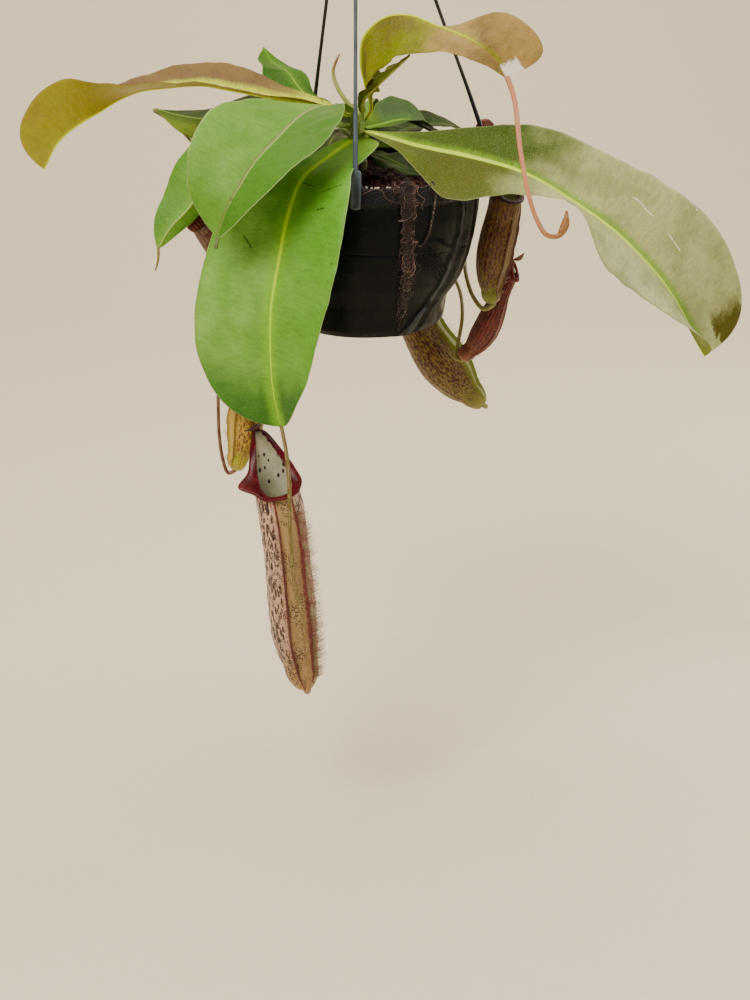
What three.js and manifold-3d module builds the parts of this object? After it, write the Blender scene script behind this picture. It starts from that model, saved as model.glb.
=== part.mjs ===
// A hanging pitcher plant: a thin nursery pot on a three-strand hanger, filled with fibrous mix,
// with one plant whose strap leaves end in tendrils and hanging pitchers. Millimetres, +Z up.
// The plant is measured from the middle of the pot's rim, with -Y toward the viewer and +X to the right.
// The finished group is moved so that its origin is the point where the hook bears on what carries it.
import * as THREE from "three";
import { mergeVertices } from "three/addons/utils/BufferGeometryUtils.js";
import Module from "manifold-3d";

const wasm = await Module();
wasm.setup();

// ---- driving dimensions -------------------------------------------------------------------------
const GAP = 0.3; // between touching pieces
const POT_RIM_RADIUS = 70; // outside, at the rim
const POT_HEIGHT = 100;
const POT_WALL = 1.6;
const POT_BAND = 10.5; // height of the thicker rim band
const POT_SEGMENTS = 32;
const POT_LEAN = 6; // how far the soft base is pushed to the left
const MIX_DEPTH = 9; // surface of the mix below the rim
const MIX_MOUND = 7; // rise of the mix round the stem
const STEM_AXIS = [-11, 0]; // where the stem stands, beside the pot's middle
const STEM_RADIUS = 6;
const STEM_TOP = 37;
const STEM_SUNK = 24; // length of stem in its hole in the mix
const LEAF_THICKNESS = 0.9;
const LEAF_RIB = 1.5; // extra depth of the midrib below the blade, at the petiole
const LEAF_STEPS = 12; // sections along a blade
const LEAF_CELLS = 3; // cells across each half of a blade
const CUP_WALL = 1;
const CUP_FLOOR = 0.14; // where a cup's hollow ends, as a share of the way up from its foot
const LID_THICKNESS = 0.9;
const LID_DOME = 2.2;
const WING_ANGLE = 24; // of a cup's two wings, each side of its front, in degrees
const LIP_CORNER_ANGLE = 1.25; // of a lip's two front corners, each side of its front, in radians
const CLIP_WIDTH = 7.5;
const CLIP_HEIGHT = 24;
const CLIP_THICKNESS = 3.2;
const CLIP_INNER_LEG = 5; // how far the short leg reaches down inside the rim
const CLIP_INNER_THICKNESS = 1.8;
const CLIP_BRIDGE = 2.8; // height of the bridge over the rim
const STRAND_RADIUS = 1.3;
const HUB = [-10.7, 0, 231]; // where the three strands meet
const HUB_RADIUS = 6;
const HUB_HEIGHT = 7;
const HOOK_WIRE_RADIUS = 2;
const HOOK_RADIUS = 11; // of the crook, to the middle of its wire
const HOOK_CENTRE = 36; // of the crook, above the hub
const BEARING = [HUB[0], HUB[1], HUB[2] + HOOK_CENTRE + HOOK_RADIUS - HOOK_WIRE_RADIUS];

// ---- colours ------------------------------------------------------------------------------------
const look = (color, roughness, metalness = 0) =>
  new THREE.MeshStandardMaterial({ color, roughness, metalness, flatShading: true });
const blackPlastic = look("#17191c", 0.42);
const greyPlastic = look("#6f7681", 0.5);
const coir = look("#3b2016", 0.95);
const rootFibre = look("#5b2b21", 0.9);
const greenStem = look("#6d7f2f", 0.6);
const greenLeaf = look("#6c9a3c", 0.5);
const darkLeaf = look("#3f5f26", 0.55);
const oliveLeaf = look("#8c8a2f", 0.5);
const greyLeaf = look("#86935a", 0.55);
const mottledCup = look("#b08a55", 0.45);
const redCup = look("#7c2a26", 0.42);
const burgundyLip = look("#6a0f1c", 0.25);
const maroonLid = look("#4c1418", 0.45);
const greenTendril = look("#a9953f", 0.5);
const redTendril = look("#8d3330", 0.5);
const pinkTendril = look("#d08a78", 0.5);

// ---- curves and tracks --------------------------------------------------------------------------
const vector = (p) => new THREE.Vector3(...p);
const radians = THREE.MathUtils.degToRad;
const degrees = THREE.MathUtils.radToDeg;

// A compass direction in plan: 0 degrees is toward the viewer, 90 is to the right.
const heading = (azimuth) =>
  new THREE.Vector3(Math.sin(radians(azimuth)), -Math.cos(radians(azimuth)), 0);

// Values spread evenly along a piece, read smoothly at t from 0 to 1.
function track(values, t) {
  const last = values.length - 1;
  const i = Math.min(Math.floor(t * last), last - 1);
  const f = t * last - i;
  const b = values[i];
  const c = values[i + 1];
  const a = i > 0 ? values[i - 1] : 2 * b - c;
  const d = i + 2 <= last ? values[i + 2] : 2 * c - b;
  return b + 0.5 * f * (c - a + f * (2 * a - 5 * b + 4 * c - d + f * (3 * (b - c) + d - a)));
}

// Stations on a curve through the points, each with its tangent and a side direction that is carried
// along without twist. They are even along the curve, or gather where the points do.
function stations(points, steps, firstSide, even) {
  const curve = new THREE.CatmullRomCurve3(points.map(vector), false, "centripetal");
  let side = firstSide.clone();
  return Array.from({ length: steps + 1 }, (_, i) => {
    const t = i / steps;
    const p = even ? curve.getPointAt(t) : curve.getPoint(t);
    const along = even ? curve.getTangentAt(t) : curve.getTangent(t);
    side = side.clone().addScaledVector(along, -side.dot(along)).normalize();
    return { p, along, side, up: side.clone().cross(along), t };
  });
}

// ---- closed skins -------------------------------------------------------------------------------
function geometryOf(positions, indices) {
  const geometry = new THREE.BufferGeometry();
  geometry.setAttribute("position", new THREE.Float32BufferAttribute(positions, 3));
  geometry.setIndex(indices);
  return geometry;
}

// Rings of points joined in order, the ends closed by fans, or the last ring joined to the first.
function loft(rings, wrap = false) {
  const count = rings[0].length;
  const positions = rings.flat().flatMap((p) => [p.x, p.y, p.z]);
  const indices = [];
  const bands = wrap ? rings.length : rings.length - 1;
  for (let i = 0; i < bands; i++) {
    const next = (i + 1) % rings.length;
    for (let j = 0; j < count; j++) {
      const k = (j + 1) % count;
      const [a, b, c, d] = [i * count + j, i * count + k, next * count + k, next * count + j];
      indices.push(a, b, c, a, c, d);
    }
  }
  if (!wrap) {
    const ends = [0, rings.length - 1];
    ends.forEach((ring, end) => {
      const middle = rings[ring].reduce((sum, p) => sum.add(p), new THREE.Vector3()).divideScalar(count);
      positions.push(middle.x, middle.y, middle.z);
      const tip = positions.length / 3 - 1;
      for (let j = 0; j < count; j++) {
        const here = ring * count + j;
        const there = ring * count + ((j + 1) % count);
        indices.push(tip, end ? here : there, end ? there : here);
      }
    });
  }
  return geometryOf(positions, indices);
}

// A round rod that follows the points, with its radius read from a track.
function rod(points, radii, steps, sides = 5) {
  const axis = vector(points[1]).sub(vector(points[0]));
  const side = axis.clone().cross(new THREE.Vector3(0.3, 0.9, 0.2));
  const rings = stations(points, steps, side, false).map((s) => {
    const radius = track(radii, s.t);
    return Array.from({ length: sides }, (_, j) => {
      const angle = (2 * Math.PI * j) / sides;
      return s.p
        .clone()
        .addScaledVector(s.side, radius * Math.cos(angle))
        .addScaledVector(s.up, -radius * Math.sin(angle));
    });
  });
  return loft(rings);
}

// ---- joining and cutting ------------------------------------------------------------------------
function solidOf(geometry) {
  const bare = geometry.index ? geometry.clone() : geometry;
  bare.deleteAttribute("normal");
  bare.deleteAttribute("uv");
  const merged = mergeVertices(bare, 1e-4);
  return new wasm.Manifold(
    new wasm.Mesh({
      numProp: 3,
      vertProperties: new Float32Array(merged.attributes.position.array),
      triVerts: new Uint32Array(merged.index.array),
    }),
  );
}

function geometryFrom(solid) {
  const mesh = solid.getMesh();
  return geometryOf(Array.from(mesh.vertProperties), Array.from(mesh.triVerts));
}

const joined = (...pieces) => geometryFrom(pieces.map(solidOf).reduce((sum, one) => sum.add(one)));
const cut = (body, tool) => geometryFrom(solidOf(body).subtract(solidOf(tool)));

// ---- the group ----------------------------------------------------------------------------------
const plant = new THREE.Group();
const inRimFrame = new THREE.Group();
inRimFrame.position.set(-BEARING[0], -BEARING[1], -BEARING[2]);
plant.add(inRimFrame);

function add(name, geometry, material) {
  const mesh = new THREE.Mesh(geometry, material);
  mesh.name = name;
  inRimFrame.add(mesh);
  return mesh;
}

// ---- pot ----------------------------------------------------------------------------------------
// Outside radius at each height, rim first. The step below the band is where the wall gets thinner.
const POT_OUTSIDE = [
  [POT_RIM_RADIUS, 0],
  [POT_RIM_RADIUS, -POT_BAND],
  [68.3, -POT_BAND - 1.2],
  [67.8, -24],
  [66, -41],
  [64, -54],
  [60.5, -67],
  [56, -78],
  [53, -88],
  [51, -96],
  [48.5, -POT_HEIGHT],
];

// How far the wall is pushed in where the soft pot is dented, low on the right.
function dent(azimuth, z) {
  const side = 4 * Math.exp(-(((azimuth - 80) / 16) ** 2) - ((z + 83) / 8) ** 2);
  const crease = 2.5 * Math.exp(-(((azimuth - 48) / 9) ** 2) - ((z + 92) / 12) ** 2);
  return side + crease;
}

// Leans and dents a round body that stands on the pot's axis.
function softened(geometry) {
  const position = geometry.attributes.position;
  for (let i = 0; i < position.count; i++) {
    const [x, y, z] = [position.getX(i), position.getY(i), position.getZ(i)];
    const radius = Math.hypot(x, y);
    const azimuth = degrees(Math.atan2(x, -y));
    const scale = radius > 1 ? 1 - dent(azimuth, z) / POT_RIM_RADIUS : 1;
    position.setXYZ(i, x * scale - potLean(z), y * scale, z);
  }
  return geometry;
}

const potLean = (z) => POT_LEAN * THREE.MathUtils.clamp(-z / POT_HEIGHT, 0, 1) ** 1.5;

function outsideRadius(z) {
  const below = POT_OUTSIDE.findIndex((p) => p[1] <= z);
  const [r1, z1] = POT_OUTSIDE[Math.max(below, 1)];
  const [r0, z0] = POT_OUTSIDE[Math.max(below, 1) - 1];
  return r0 + ((r1 - r0) * (z - z0)) / (z1 - z0);
}

// A point this far off the pot's outside, at an azimuth and a height.
function onPot(azimuth, z, off) {
  const height = Math.min(z, 0);
  const radius = outsideRadius(height) * (1 - dent(azimuth, height) / POT_RIM_RADIUS) + off;
  return [radius * Math.sin(radians(azimuth)) - potLean(height), -radius * Math.cos(radians(azimuth)), z];
}

function turned(profile, segments) {
  const points = profile.map(([r, z]) => new THREE.Vector2(r, z));
  return new THREE.LatheGeometry(points, segments).rotateX(Math.PI / 2);
}

function pot() {
  const inside = POT_OUTSIDE.map(([r, z]) => [r - POT_WALL, z]).filter(([, z]) => z > -POT_HEIGHT + 5);
  const floor = -POT_HEIGHT + POT_WALL;
  const profile = [
    [0, -POT_HEIGHT],
    ...POT_OUTSIDE.slice().reverse(),
    ...inside,
    [48.5 - POT_WALL, floor],
    [0, floor],
  ];
  return softened(turned(profile, POT_SEGMENTS));
}

// The mix fills the pot and mounds round the stem, which stands in a hole in it.
function pottingMix() {
  const skin = POT_WALL + 3 * GAP;
  const wall = POT_OUTSIDE.filter(([, z]) => z < -MIX_DEPTH - 1 && z > -POT_HEIGHT + 5);
  const bottom = -POT_HEIGHT + skin;
  const top = (r) => -MIX_DEPTH + MIX_MOUND * Math.exp(-((r / 34) ** 2));
  const surface = [64, 52, 40, 28, 14, 0].map((r) => [r, top(r)]);
  const profile = [
    [0, bottom],
    [48.5 - skin, bottom],
    ...wall.reverse().map(([r, z]) => [r - skin, z]),
    [outsideRadius(-MIX_DEPTH) - skin - 1.2, -MIX_DEPTH],
    ...surface,
  ];
  const body = softened(turned(profile, POT_SEGMENTS));
  const position = body.attributes.position;
  for (let i = 0; i < position.count; i++) {
    const [x, y, z] = [position.getX(i), position.getY(i), position.getZ(i)];
    const lump = 0.8 * Math.sin(x * 0.31 + 1) * Math.sin(y * 0.27) + 0.6 * Math.sin(x * 0.6 - y * 0.5);
    if (z > -MIX_DEPTH - 0.5 && Math.hypot(x, y) < 58) position.setZ(i, z + lump);
  }
  const hole = new THREE.CylinderGeometry(STEM_RADIUS + GAP, STEM_RADIUS + GAP, STEM_SUNK + 20, 12);
  hole.rotateX(Math.PI / 2);
  hole.translate(STEM_AXIS[0], STEM_AXIS[1], (20 - STEM_SUNK) / 2 - GAP);
  return cut(body, hole);
}

// Roots that hang over the rim: a hank of three twisted strands, and one thin root beside it.
function rootHank() {
  const strands = [
    { azimuth: 14.6, sway: 1.1, phase: 0, end: -64, radius: 2 },
    { azimuth: 16.3, sway: 1.7, phase: 2, end: -84, radius: 1.8 },
    { azimuth: 17.8, sway: 1, phase: 4, end: -50, radius: 1.6 },
  ];
  const rods = strands.map(({ azimuth, sway, phase, end, radius }) => {
    const clear = radius + 0.9;
    const points = [
      onPot(azimuth - 2, -4.5, -POT_WALL - clear - 6),
      onPot(azimuth - 1, 0, -POT_WALL - clear - 0.6),
      onPot(azimuth, clear + 0.6, -POT_WALL / 2),
      onPot(azimuth, -2, clear),
    ];
    for (let z = -14; z > end; z -= 10) {
      points.push(onPot(azimuth + sway * Math.sin(z * 0.14 + phase) + (-z - 14) * 0.06, z, clear + 0.3));
    }
    points.push(onPot(azimuth + 2, end, clear + 0.2));
    return rod(points, [radius, radius, radius, radius * 0.8, radius * 0.4], 18, 5);
  });
  return joined(...rods);
}

function thinRoot() {
  const points = [
    onPot(29, -4, -POT_WALL - 5),
    onPot(30, 0.6, -POT_WALL - 1.8),
    onPot(30.5, 2.2, -POT_WALL / 2),
    onPot(31, -2, 1.9),
    onPot(31, -19, 1.8),
    onPot(29, -32, 1.8),
    onPot(25.5, -37, 1.8),
    onPot(23, -35, 2),
  ];
  return rod(points, [0.9, 0.9, 0.8, 0.5], 18, 5);
}

// ---- hanger -------------------------------------------------------------------------------------
// A moulded clip hooks over the rim: a long leg outside, a bridge over the rim, a short leg inside.
function clip(azimuth) {
  const outside = POT_RIM_RADIUS + GAP + 0.3;
  const inside = POT_RIM_RADIUS - POT_WALL - GAP - 0.6;
  const shape = new THREE.Shape();
  shape.moveTo(outside, -CLIP_HEIGHT / 2);
  shape.lineTo(outside + CLIP_THICKNESS, -CLIP_HEIGHT / 2);
  shape.lineTo(outside + CLIP_THICKNESS, CLIP_HEIGHT / 2);
  shape.lineTo(outside, CLIP_HEIGHT / 2);
  shape.lineTo(inside - CLIP_INNER_THICKNESS, CLIP_BRIDGE);
  shape.lineTo(inside - CLIP_INNER_THICKNESS, -CLIP_INNER_LEG);
  shape.lineTo(inside, -CLIP_INNER_LEG);
  shape.lineTo(inside, GAP + 0.1);
  shape.lineTo(outside, GAP + 0.1);
  shape.closePath();
  const body = new THREE.ExtrudeGeometry(shape, { depth: CLIP_WIDTH, bevelEnabled: false });
  body.translate(0, 0, -CLIP_WIDTH / 2).rotateX(Math.PI / 2);
  return body.rotateZ(radians(azimuth - 90));
}

function strand(azimuth, bow) {
  const radius = POT_RIM_RADIUS + GAP + 0.3 + CLIP_THICKNESS / 2;
  const foot = heading(azimuth).multiplyScalar(radius);
  const top = vector(HUB).add(new THREE.Vector3(0, 0, -HUB_HEIGHT / 2 - GAP - 0.6));
  const meet = heading(azimuth).multiplyScalar(HUB_RADIUS - STRAND_RADIUS - 1);
  const points = [
    [foot.x, foot.y, CLIP_HEIGHT / 2 - 3],
    [foot.x, foot.y, CLIP_HEIGHT / 2 + 1],
    ...bow,
    [top.x + meet.x, top.y + meet.y, top.z],
  ];
  return joined(clip(azimuth), rod(points, [STRAND_RADIUS, STRAND_RADIUS], 13, 6));
}

function hook() {
  const hub = new THREE.CylinderGeometry(HUB_RADIUS - 1, HUB_RADIUS, HUB_HEIGHT, 16);
  hub.rotateX(Math.PI / 2).translate(...HUB);
  const centre = HUB[2] + HOOK_CENTRE;
  const arc = [180, 150, 120, 90, 60, 30, 0, -35].map((angle) => [
    HUB[0] + HOOK_RADIUS * Math.cos(radians(angle)),
    HUB[1],
    centre + HOOK_RADIUS * Math.sin(radians(angle)),
  ]);
  const shaft = [
    [HUB[0], HUB[1], HUB[2]],
    [HUB[0], HUB[1], HUB[2] + 12],
    [HUB[0] - HOOK_RADIUS * 0.7, HUB[1], HUB[2] + 22],
  ];
  return joined(hub, rod([...shaft, ...arc], [HOOK_WIRE_RADIUS, HOOK_WIRE_RADIUS], 20, 8));
}

// ---- stem ---------------------------------------------------------------------------------------
function stemRadius(z) {
  return STEM_RADIUS - (STEM_RADIUS - 3.6) * THREE.MathUtils.clamp(z / STEM_TOP, 0, 1);
}

function stem() {
  const heights = [-STEM_SUNK, -4, 4, 12, 20, 28, 34, STEM_TOP];
  const rings = heights.map((z) =>
    Array.from({ length: 12 }, (_, j) => {
      const angle = (2 * Math.PI * j) / 12;
      const radius = stemRadius(z) - (z === STEM_TOP ? 1.2 : 0);
      return new THREE.Vector3(
        STEM_AXIS[0] + radius * Math.cos(angle),
        STEM_AXIS[1] + radius * Math.sin(angle),
        z,
      );
    }),
  );
  return loft(rings);
}

// Where a leaf's midrib leaves the stem.
function onStem(azimuth, z, clear = GAP + 0.7) {
  const out = heading(azimuth).multiplyScalar(stemRadius(z) + clear);
  return [STEM_AXIS[0] + out.x, STEM_AXIS[1] + out.y, z];
}

// ---- leaves -------------------------------------------------------------------------------------
// Each leaf has a midrib that starts on the stem at an azimuth and a height, and then passes its points.
// `left` and `right` are its halves as seen from above with the tip pointing toward the viewer. Each has
// tracks along the leaf: its half width, the angle its half is lifted by from the midrib's level, how
// far its edge droops or rises beyond that in millimetres, and how far the edge is swept back toward
// the stem as a share of the half width.
const LEAVES = {
  leaf_front_large: {
    stem: [-25, 18],
    rib: [[-28, -38, 14], [-44, -64, 5], [-52, -80, -13], [-58, -88, -40], [-63, -91, -69], [-64, -90, -95],
      [-63, -86, -123], [-59, -82, -147.5]],
    left: { width: [4, 12, 38, 49, 54, 56, 48], lift: [30, 12, 4, 4, 4, 8, 20] },
    right: {
      width: [12, 23, 22, 24, 34, 40, 43, 43, 41, 38, 34, 28, 22],
      lift: [10, 8, 8, 6, 10, 14, 20],
    },
    tip: 10, wave: 1.2, waves: 2.5, look: greenLeaf,
  },
  leaf_front_left: {
    stem: [-46, 36],
    rib: [[-31, -22, 42], [-44, -42, 40], [-57, -65, 31], [-72, -88, 18], [-80, -96, 6], [-86, -99, -4],
      [-93, -97, -23]],
    left: { width: [3, 8, 30, 39, 40, 36, 24], lift: [0, 4, 16, 32, 38, 30, 20] },
    right: { width: [3, 16, 32, 38, 36, 24, 10], lift: [15, 10, 8, 12, 20] },
    tip: 10, wave: 0.8, look: greenLeaf,
  },
  leaf_left_low: {
    stem: [-75, 27],
    rib: [[-52, -16, 28], [-81, -30, 18], [-103, -42, -1], [-117, -47, -18], [-127, -50, -28], [-135, -54, -40]],
    left: { width: [3, 10, 18, 25, 26, 20, 9], lift: [10, 30, 40, 40, 60] },
    right: { width: [3, 8, 12, 13, 13, 10, 6], lift: [0, -40, -95, -110, -80] },
    tip: 11, wave: 0.6, look: greenLeaf,
  },
  leaf_left_long: {
    stem: [-104, 33],
    rib: [[-41, 4, 40], [-63, 6, 43], [-92, 7, 48], [-110, 6, 51], [-135, 0, 50], [-147, -4, 49], [-161, -8, 44],
      [-173, -12, 37], [-187, -17, 29], [-199, -22, 19], [-207, -28, 4]],
    left: { width: [3, 12, 22, 24, 24, 26, 20], lift: [20, 26, 34, 26, 10, 5, 40] },
    right: { width: [3, 14, 20, 22, 26, 33, 34], lift: [10, 10, 9, 9, 24, 78, 98] },
    tip: 12, wave: 0.8, waves: 2.5, look: oliveLeaf,
  },
  leaf_left_back: {
    stem: [-115, 26],
    rib: [[-42, 22, 28], [-69, 40, 24], [-97, 54, 21], [-117, 62, 20], [-135, 68, 22], [-148, 72, 25]],
    left: { width: [3, 7, 20, 30, 28, 16, 4], lift: [10, 15, 26, 20, 10] },
    right: { width: [3, 8, 18, 24, 24, 16, 4], lift: [-20, -40, -45, -45, -40] },
    tip: 9, look: darkLeaf,
  },
  leaf_back_raised: {
    stem: [-146, 32],
    rib: [[-20, 11, 32], [-32, 23, 33], [-42, 35, 37], [-51, 47, 44], [-58, 60, 51], [-70, 74, 57], [-75, 84, 64]],
    left: { width: [3, 6, 9, 10, 12, 10, 4], lift: [10, 5, 0, 5] },
    right: { width: [3, 4, 12, 20, 22, 16, 4], lift: [-20, -15, 0, 10, 10] },
    tip: 9, look: greenLeaf,
  },
  leaf_right_large: {
    stem: [75, 23],
    rib: [[11, -17, 21], [27, -26, 18], [59, -36, 13], [92, -42, 4], [124, -44, -14], [150, -45, -32],
      [170, -44, -51], [183, -42, -66], [196, -39, -85], [206, -36, -103], [214, -33, -116]],
    left: {
      width: [3, 13, 33, 32, 30, 33, 31, 22, 12],
      lift: [0, -4, -10, 2, 12, -14, -20, 0, 50],
      droop: [0, 0, -9, -4, 0, -6, 0, 0, 0],
    },
    right: { width: [3, 16, 30, 38, 46, 51, 52], lift: [10, 30, 45, 52, 58, 62, 58, 48] },
    tip: 22, wave: 1, look: greyLeaf, steps: 18,
  },
  leaf_top_newest: {
    stem: [80, 31], turn: 80,
    rib: [[-3, -3, 38], [-6, -6, 51], [-9, -10, 67], [-7, -14, 83], [6, -18, 95], [21, -24, 97], [39, -31, 91],
      [51, -36, 87], [64, -41, 81], [73, -44, 74], [80, -47, 63]],
    left: {
      width: [2.5, 6, 13, 21, 27, 23, 22, 20, 8],
      lift: [0, -40, -60, -62, -62, -38, -14, -4, -4],
      sweep: [0, 0.5, 1.1, 0.95, 0.3, 0, 0, 0, 0],
    },
    right: {
      width: [2.5, 6, 14, 23, 29, 24, 17, 26, 42],
      lift: [0, -20, -56, -60, -56, -34, 16, 76, 84],
      sweep: [0, 0.5, 1.1, 0.95, 0.3, 0, 0, 0, -0.2],
    },
    tip: 24, wave: 0.4, look: oliveLeaf, steps: 18,
  },
  leaf_young_spear: {
    stem: [45, 36], turn: 60,
    rib: [[-8, -11, 43], [-1, -24, 53], [12, -33, 66], [21, -38, 75]],
    left: { width: [2, 4, 5, 3, 1], lift: [40, 60] },
    right: { width: [2, 4, 5, 3, 1], lift: [40, 60] },
    tip: 14, look: greenLeaf, steps: 10,
  },
  leaf_right_back_near: {
    stem: [125, 24],
    rib: [[5, 12, 25], [14, 26, 25], [23, 38, 23], [33, 44, 18], [43, 49, 11], [54, 57, -4], [63, 64, -24],
      [68, 67, -42]],
    left: { width: [3, 8, 14, 18, 18, 14, 6], lift: [0, 0, -10, -20] },
    right: { width: [3, 15, 20, 14, 12, 10, 5], lift: [40, 50, 48, 28, 20, 20, 20] },
    tip: 10, look: greenLeaf,
  },
  leaf_right_back_far: {
    stem: [140, 12],
    rib: [[0, 24, 13], [14, 48, 13], [30, 70, 14], [48, 84, 13], [64, 92, 6]],
    left: { width: [3, 6, 8, 10, 10, 8, 4], lift: [0, 0] },
    right: { width: [3, 6, 10, 14, 16, 14, 5], lift: [0, 10, 25, 25] },
    tip: 10, look: darkLeaf,
  },
  leaf_under_right: {
    stem: [50, 10],
    rib: [[6, -16, 9], [18, -24, 5], [31, -30, 0]],
    left: { width: [3, 9, 13, 11, 6], lift: [0, 0] },
    right: { width: [3, 9, 13, 11, 6], lift: [10, 0] },
    tip: 8, look: darkLeaf, steps: 8,
  },
  leaf_behind_front: {
    stem: [-52, 8],
    rib: [[-28, -15, 8], [-46, -27, 8], [-60, -40, 6.5], [-68, -47, -3], [-74, -48, -20], [-84, -47, -50],
      [-95, -45, -82], [-102, -43, -112], [-102, -42, -141]],
    left: { width: [3, 5, 5, 8, 9, 8, 5], lift: [0, 0] },
    right: { width: [3, 5, 6, 9, 10, 8, 5], lift: [0, 0] },
    tip: 10, wave: 0.5, look: darkLeaf,
  },
  leaf_back: {
    stem: [174, 27],
    rib: [[-10, 30, 32], [-12, 60, 29], [-8, 88, 12], [2, 104, -16], [16, 106, -50]],
    left: { width: [3, 8, 14, 18, 20, 16, 8], lift: [10, 10] },
    right: { width: [3, 8, 14, 16, 14, 12, 6], lift: [10, 10] },
    tip: 10, look: greenLeaf,
  },
  leaf_back_left: {
    stem: [-150, 18, 0.5],
    rib: [[-20, 30, 19], [-27, 62, 11], [-33, 92, -5], [-36, 114, -28], [-34, 121, -46]],
    left: { width: [3, 8, 12, 14, 14, 12, 6], lift: [0, 5] },
    right: { width: [3, 6, 7, 12, 18, 14, 6], lift: [0, 5] },
    tip: 10, look: darkLeaf,
  },
};

// The blade's middle surface, as rows of points from edge to edge. Half widths narrow to a rounded
// tip as (1 - t^tip)^0.6, and the edges wave by a sine along the blade.
function bladeRows(leaf) {
  const steps = leaf.steps ?? LEAF_STEPS;
  const points = [onStem(...leaf.stem), ...leaf.rib];
  const reach = vector(points.at(-1)).sub(vector(points[0]));
  const facing = leaf.turn === undefined ? reach.setZ(0).normalize() : heading(leaf.turn);
  const side = facing.cross(new THREE.Vector3(0, 0, 1));
  return stations(points, steps, side, true).map(({ p, along, side, up, t }) => {
    const row = [];
    for (let j = -LEAF_CELLS; j <= LEAF_CELLS; j++) {
      const half = j > 0 ? leaf.left : leaf.right;
      const out = Math.abs(j) / LEAF_CELLS;
      const width = Math.max(track(half.width, t) * (1 - t ** leaf.tip) ** 0.6, 0.8) * out;
      const lift = radians(track(half.lift, t));
      const phase = 2 * Math.PI * ((leaf.waves ?? 3) * t + (j > 0 ? 0.35 : 0));
      const wave = (leaf.wave ?? 1.5) * Math.sin(phase) * out ** 2 * Math.sin(Math.PI * t);
      const droop = half.droop ? track(half.droop, t) * out ** 2 : 0;
      const swept = half.sweep ? track(half.sweep, t) * width : 0;
      row.push(
        p
          .clone()
          .addScaledVector(side, Math.sign(j) * width * Math.cos(lift))
          .addScaledVector(up, width * Math.sin(lift) + droop + wave)
          .addScaledVector(along, -swept),
      );
    }
    return row;
  });
}

// Thickens the rows into one closed blade, with the midrib standing out below.
function blade(leaf) {
  const rows = bladeRows(leaf);
  const last = rows.length - 1;
  const across = rows[0].length;
  const at = (i, j) => rows[Math.min(Math.max(i, 0), last)][Math.min(Math.max(j, 0), across - 1)];
  const top = [];
  const bottom = [];
  rows.forEach((row, i) =>
    row.forEach((p, j) => {
      const along = at(i + 1, j).clone().sub(at(i - 1, j));
      const sideways = at(i, j + 1).clone().sub(at(i, j - 1));
      const normal = sideways.cross(along).normalize();
      const rib = j === LEAF_CELLS ? LEAF_RIB * (1 - (0.75 * i) / last) : 0;
      top.push(p.clone().addScaledVector(normal, LEAF_THICKNESS / 2));
      bottom.push(p.clone().addScaledVector(normal, -LEAF_THICKNESS / 2 - rib));
    }),
  );
  const positions = [...top, ...bottom].flatMap((p) => [p.x, p.y, p.z]);
  const under = top.length;
  const indices = [];
  for (let i = 0; i < last; i++) {
    for (let j = 0; j < across - 1; j++) {
      const [a, b] = [i * across + j, (i + 1) * across + j];
      const [c, d] = [b + 1, a + 1];
      indices.push(a, d, c, a, c, b, under + a, under + c, under + d, under + a, under + b, under + c);
    }
  }
  const rim = [];
  for (let j = 0; j < across - 1; j++) rim.push(j);
  for (let i = 0; i < last; i++) rim.push(i * across + across - 1);
  for (let j = across - 1; j > 0; j--) rim.push(last * across + j);
  for (let i = last; i > 0; i--) rim.push(i * across);
  rim.forEach((p, k) => {
    const q = rim[(k + 1) % rim.length];
    indices.push(q, p, under + p, q, under + p, under + q);
  });
  return geometryOf(positions, indices);
}

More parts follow.
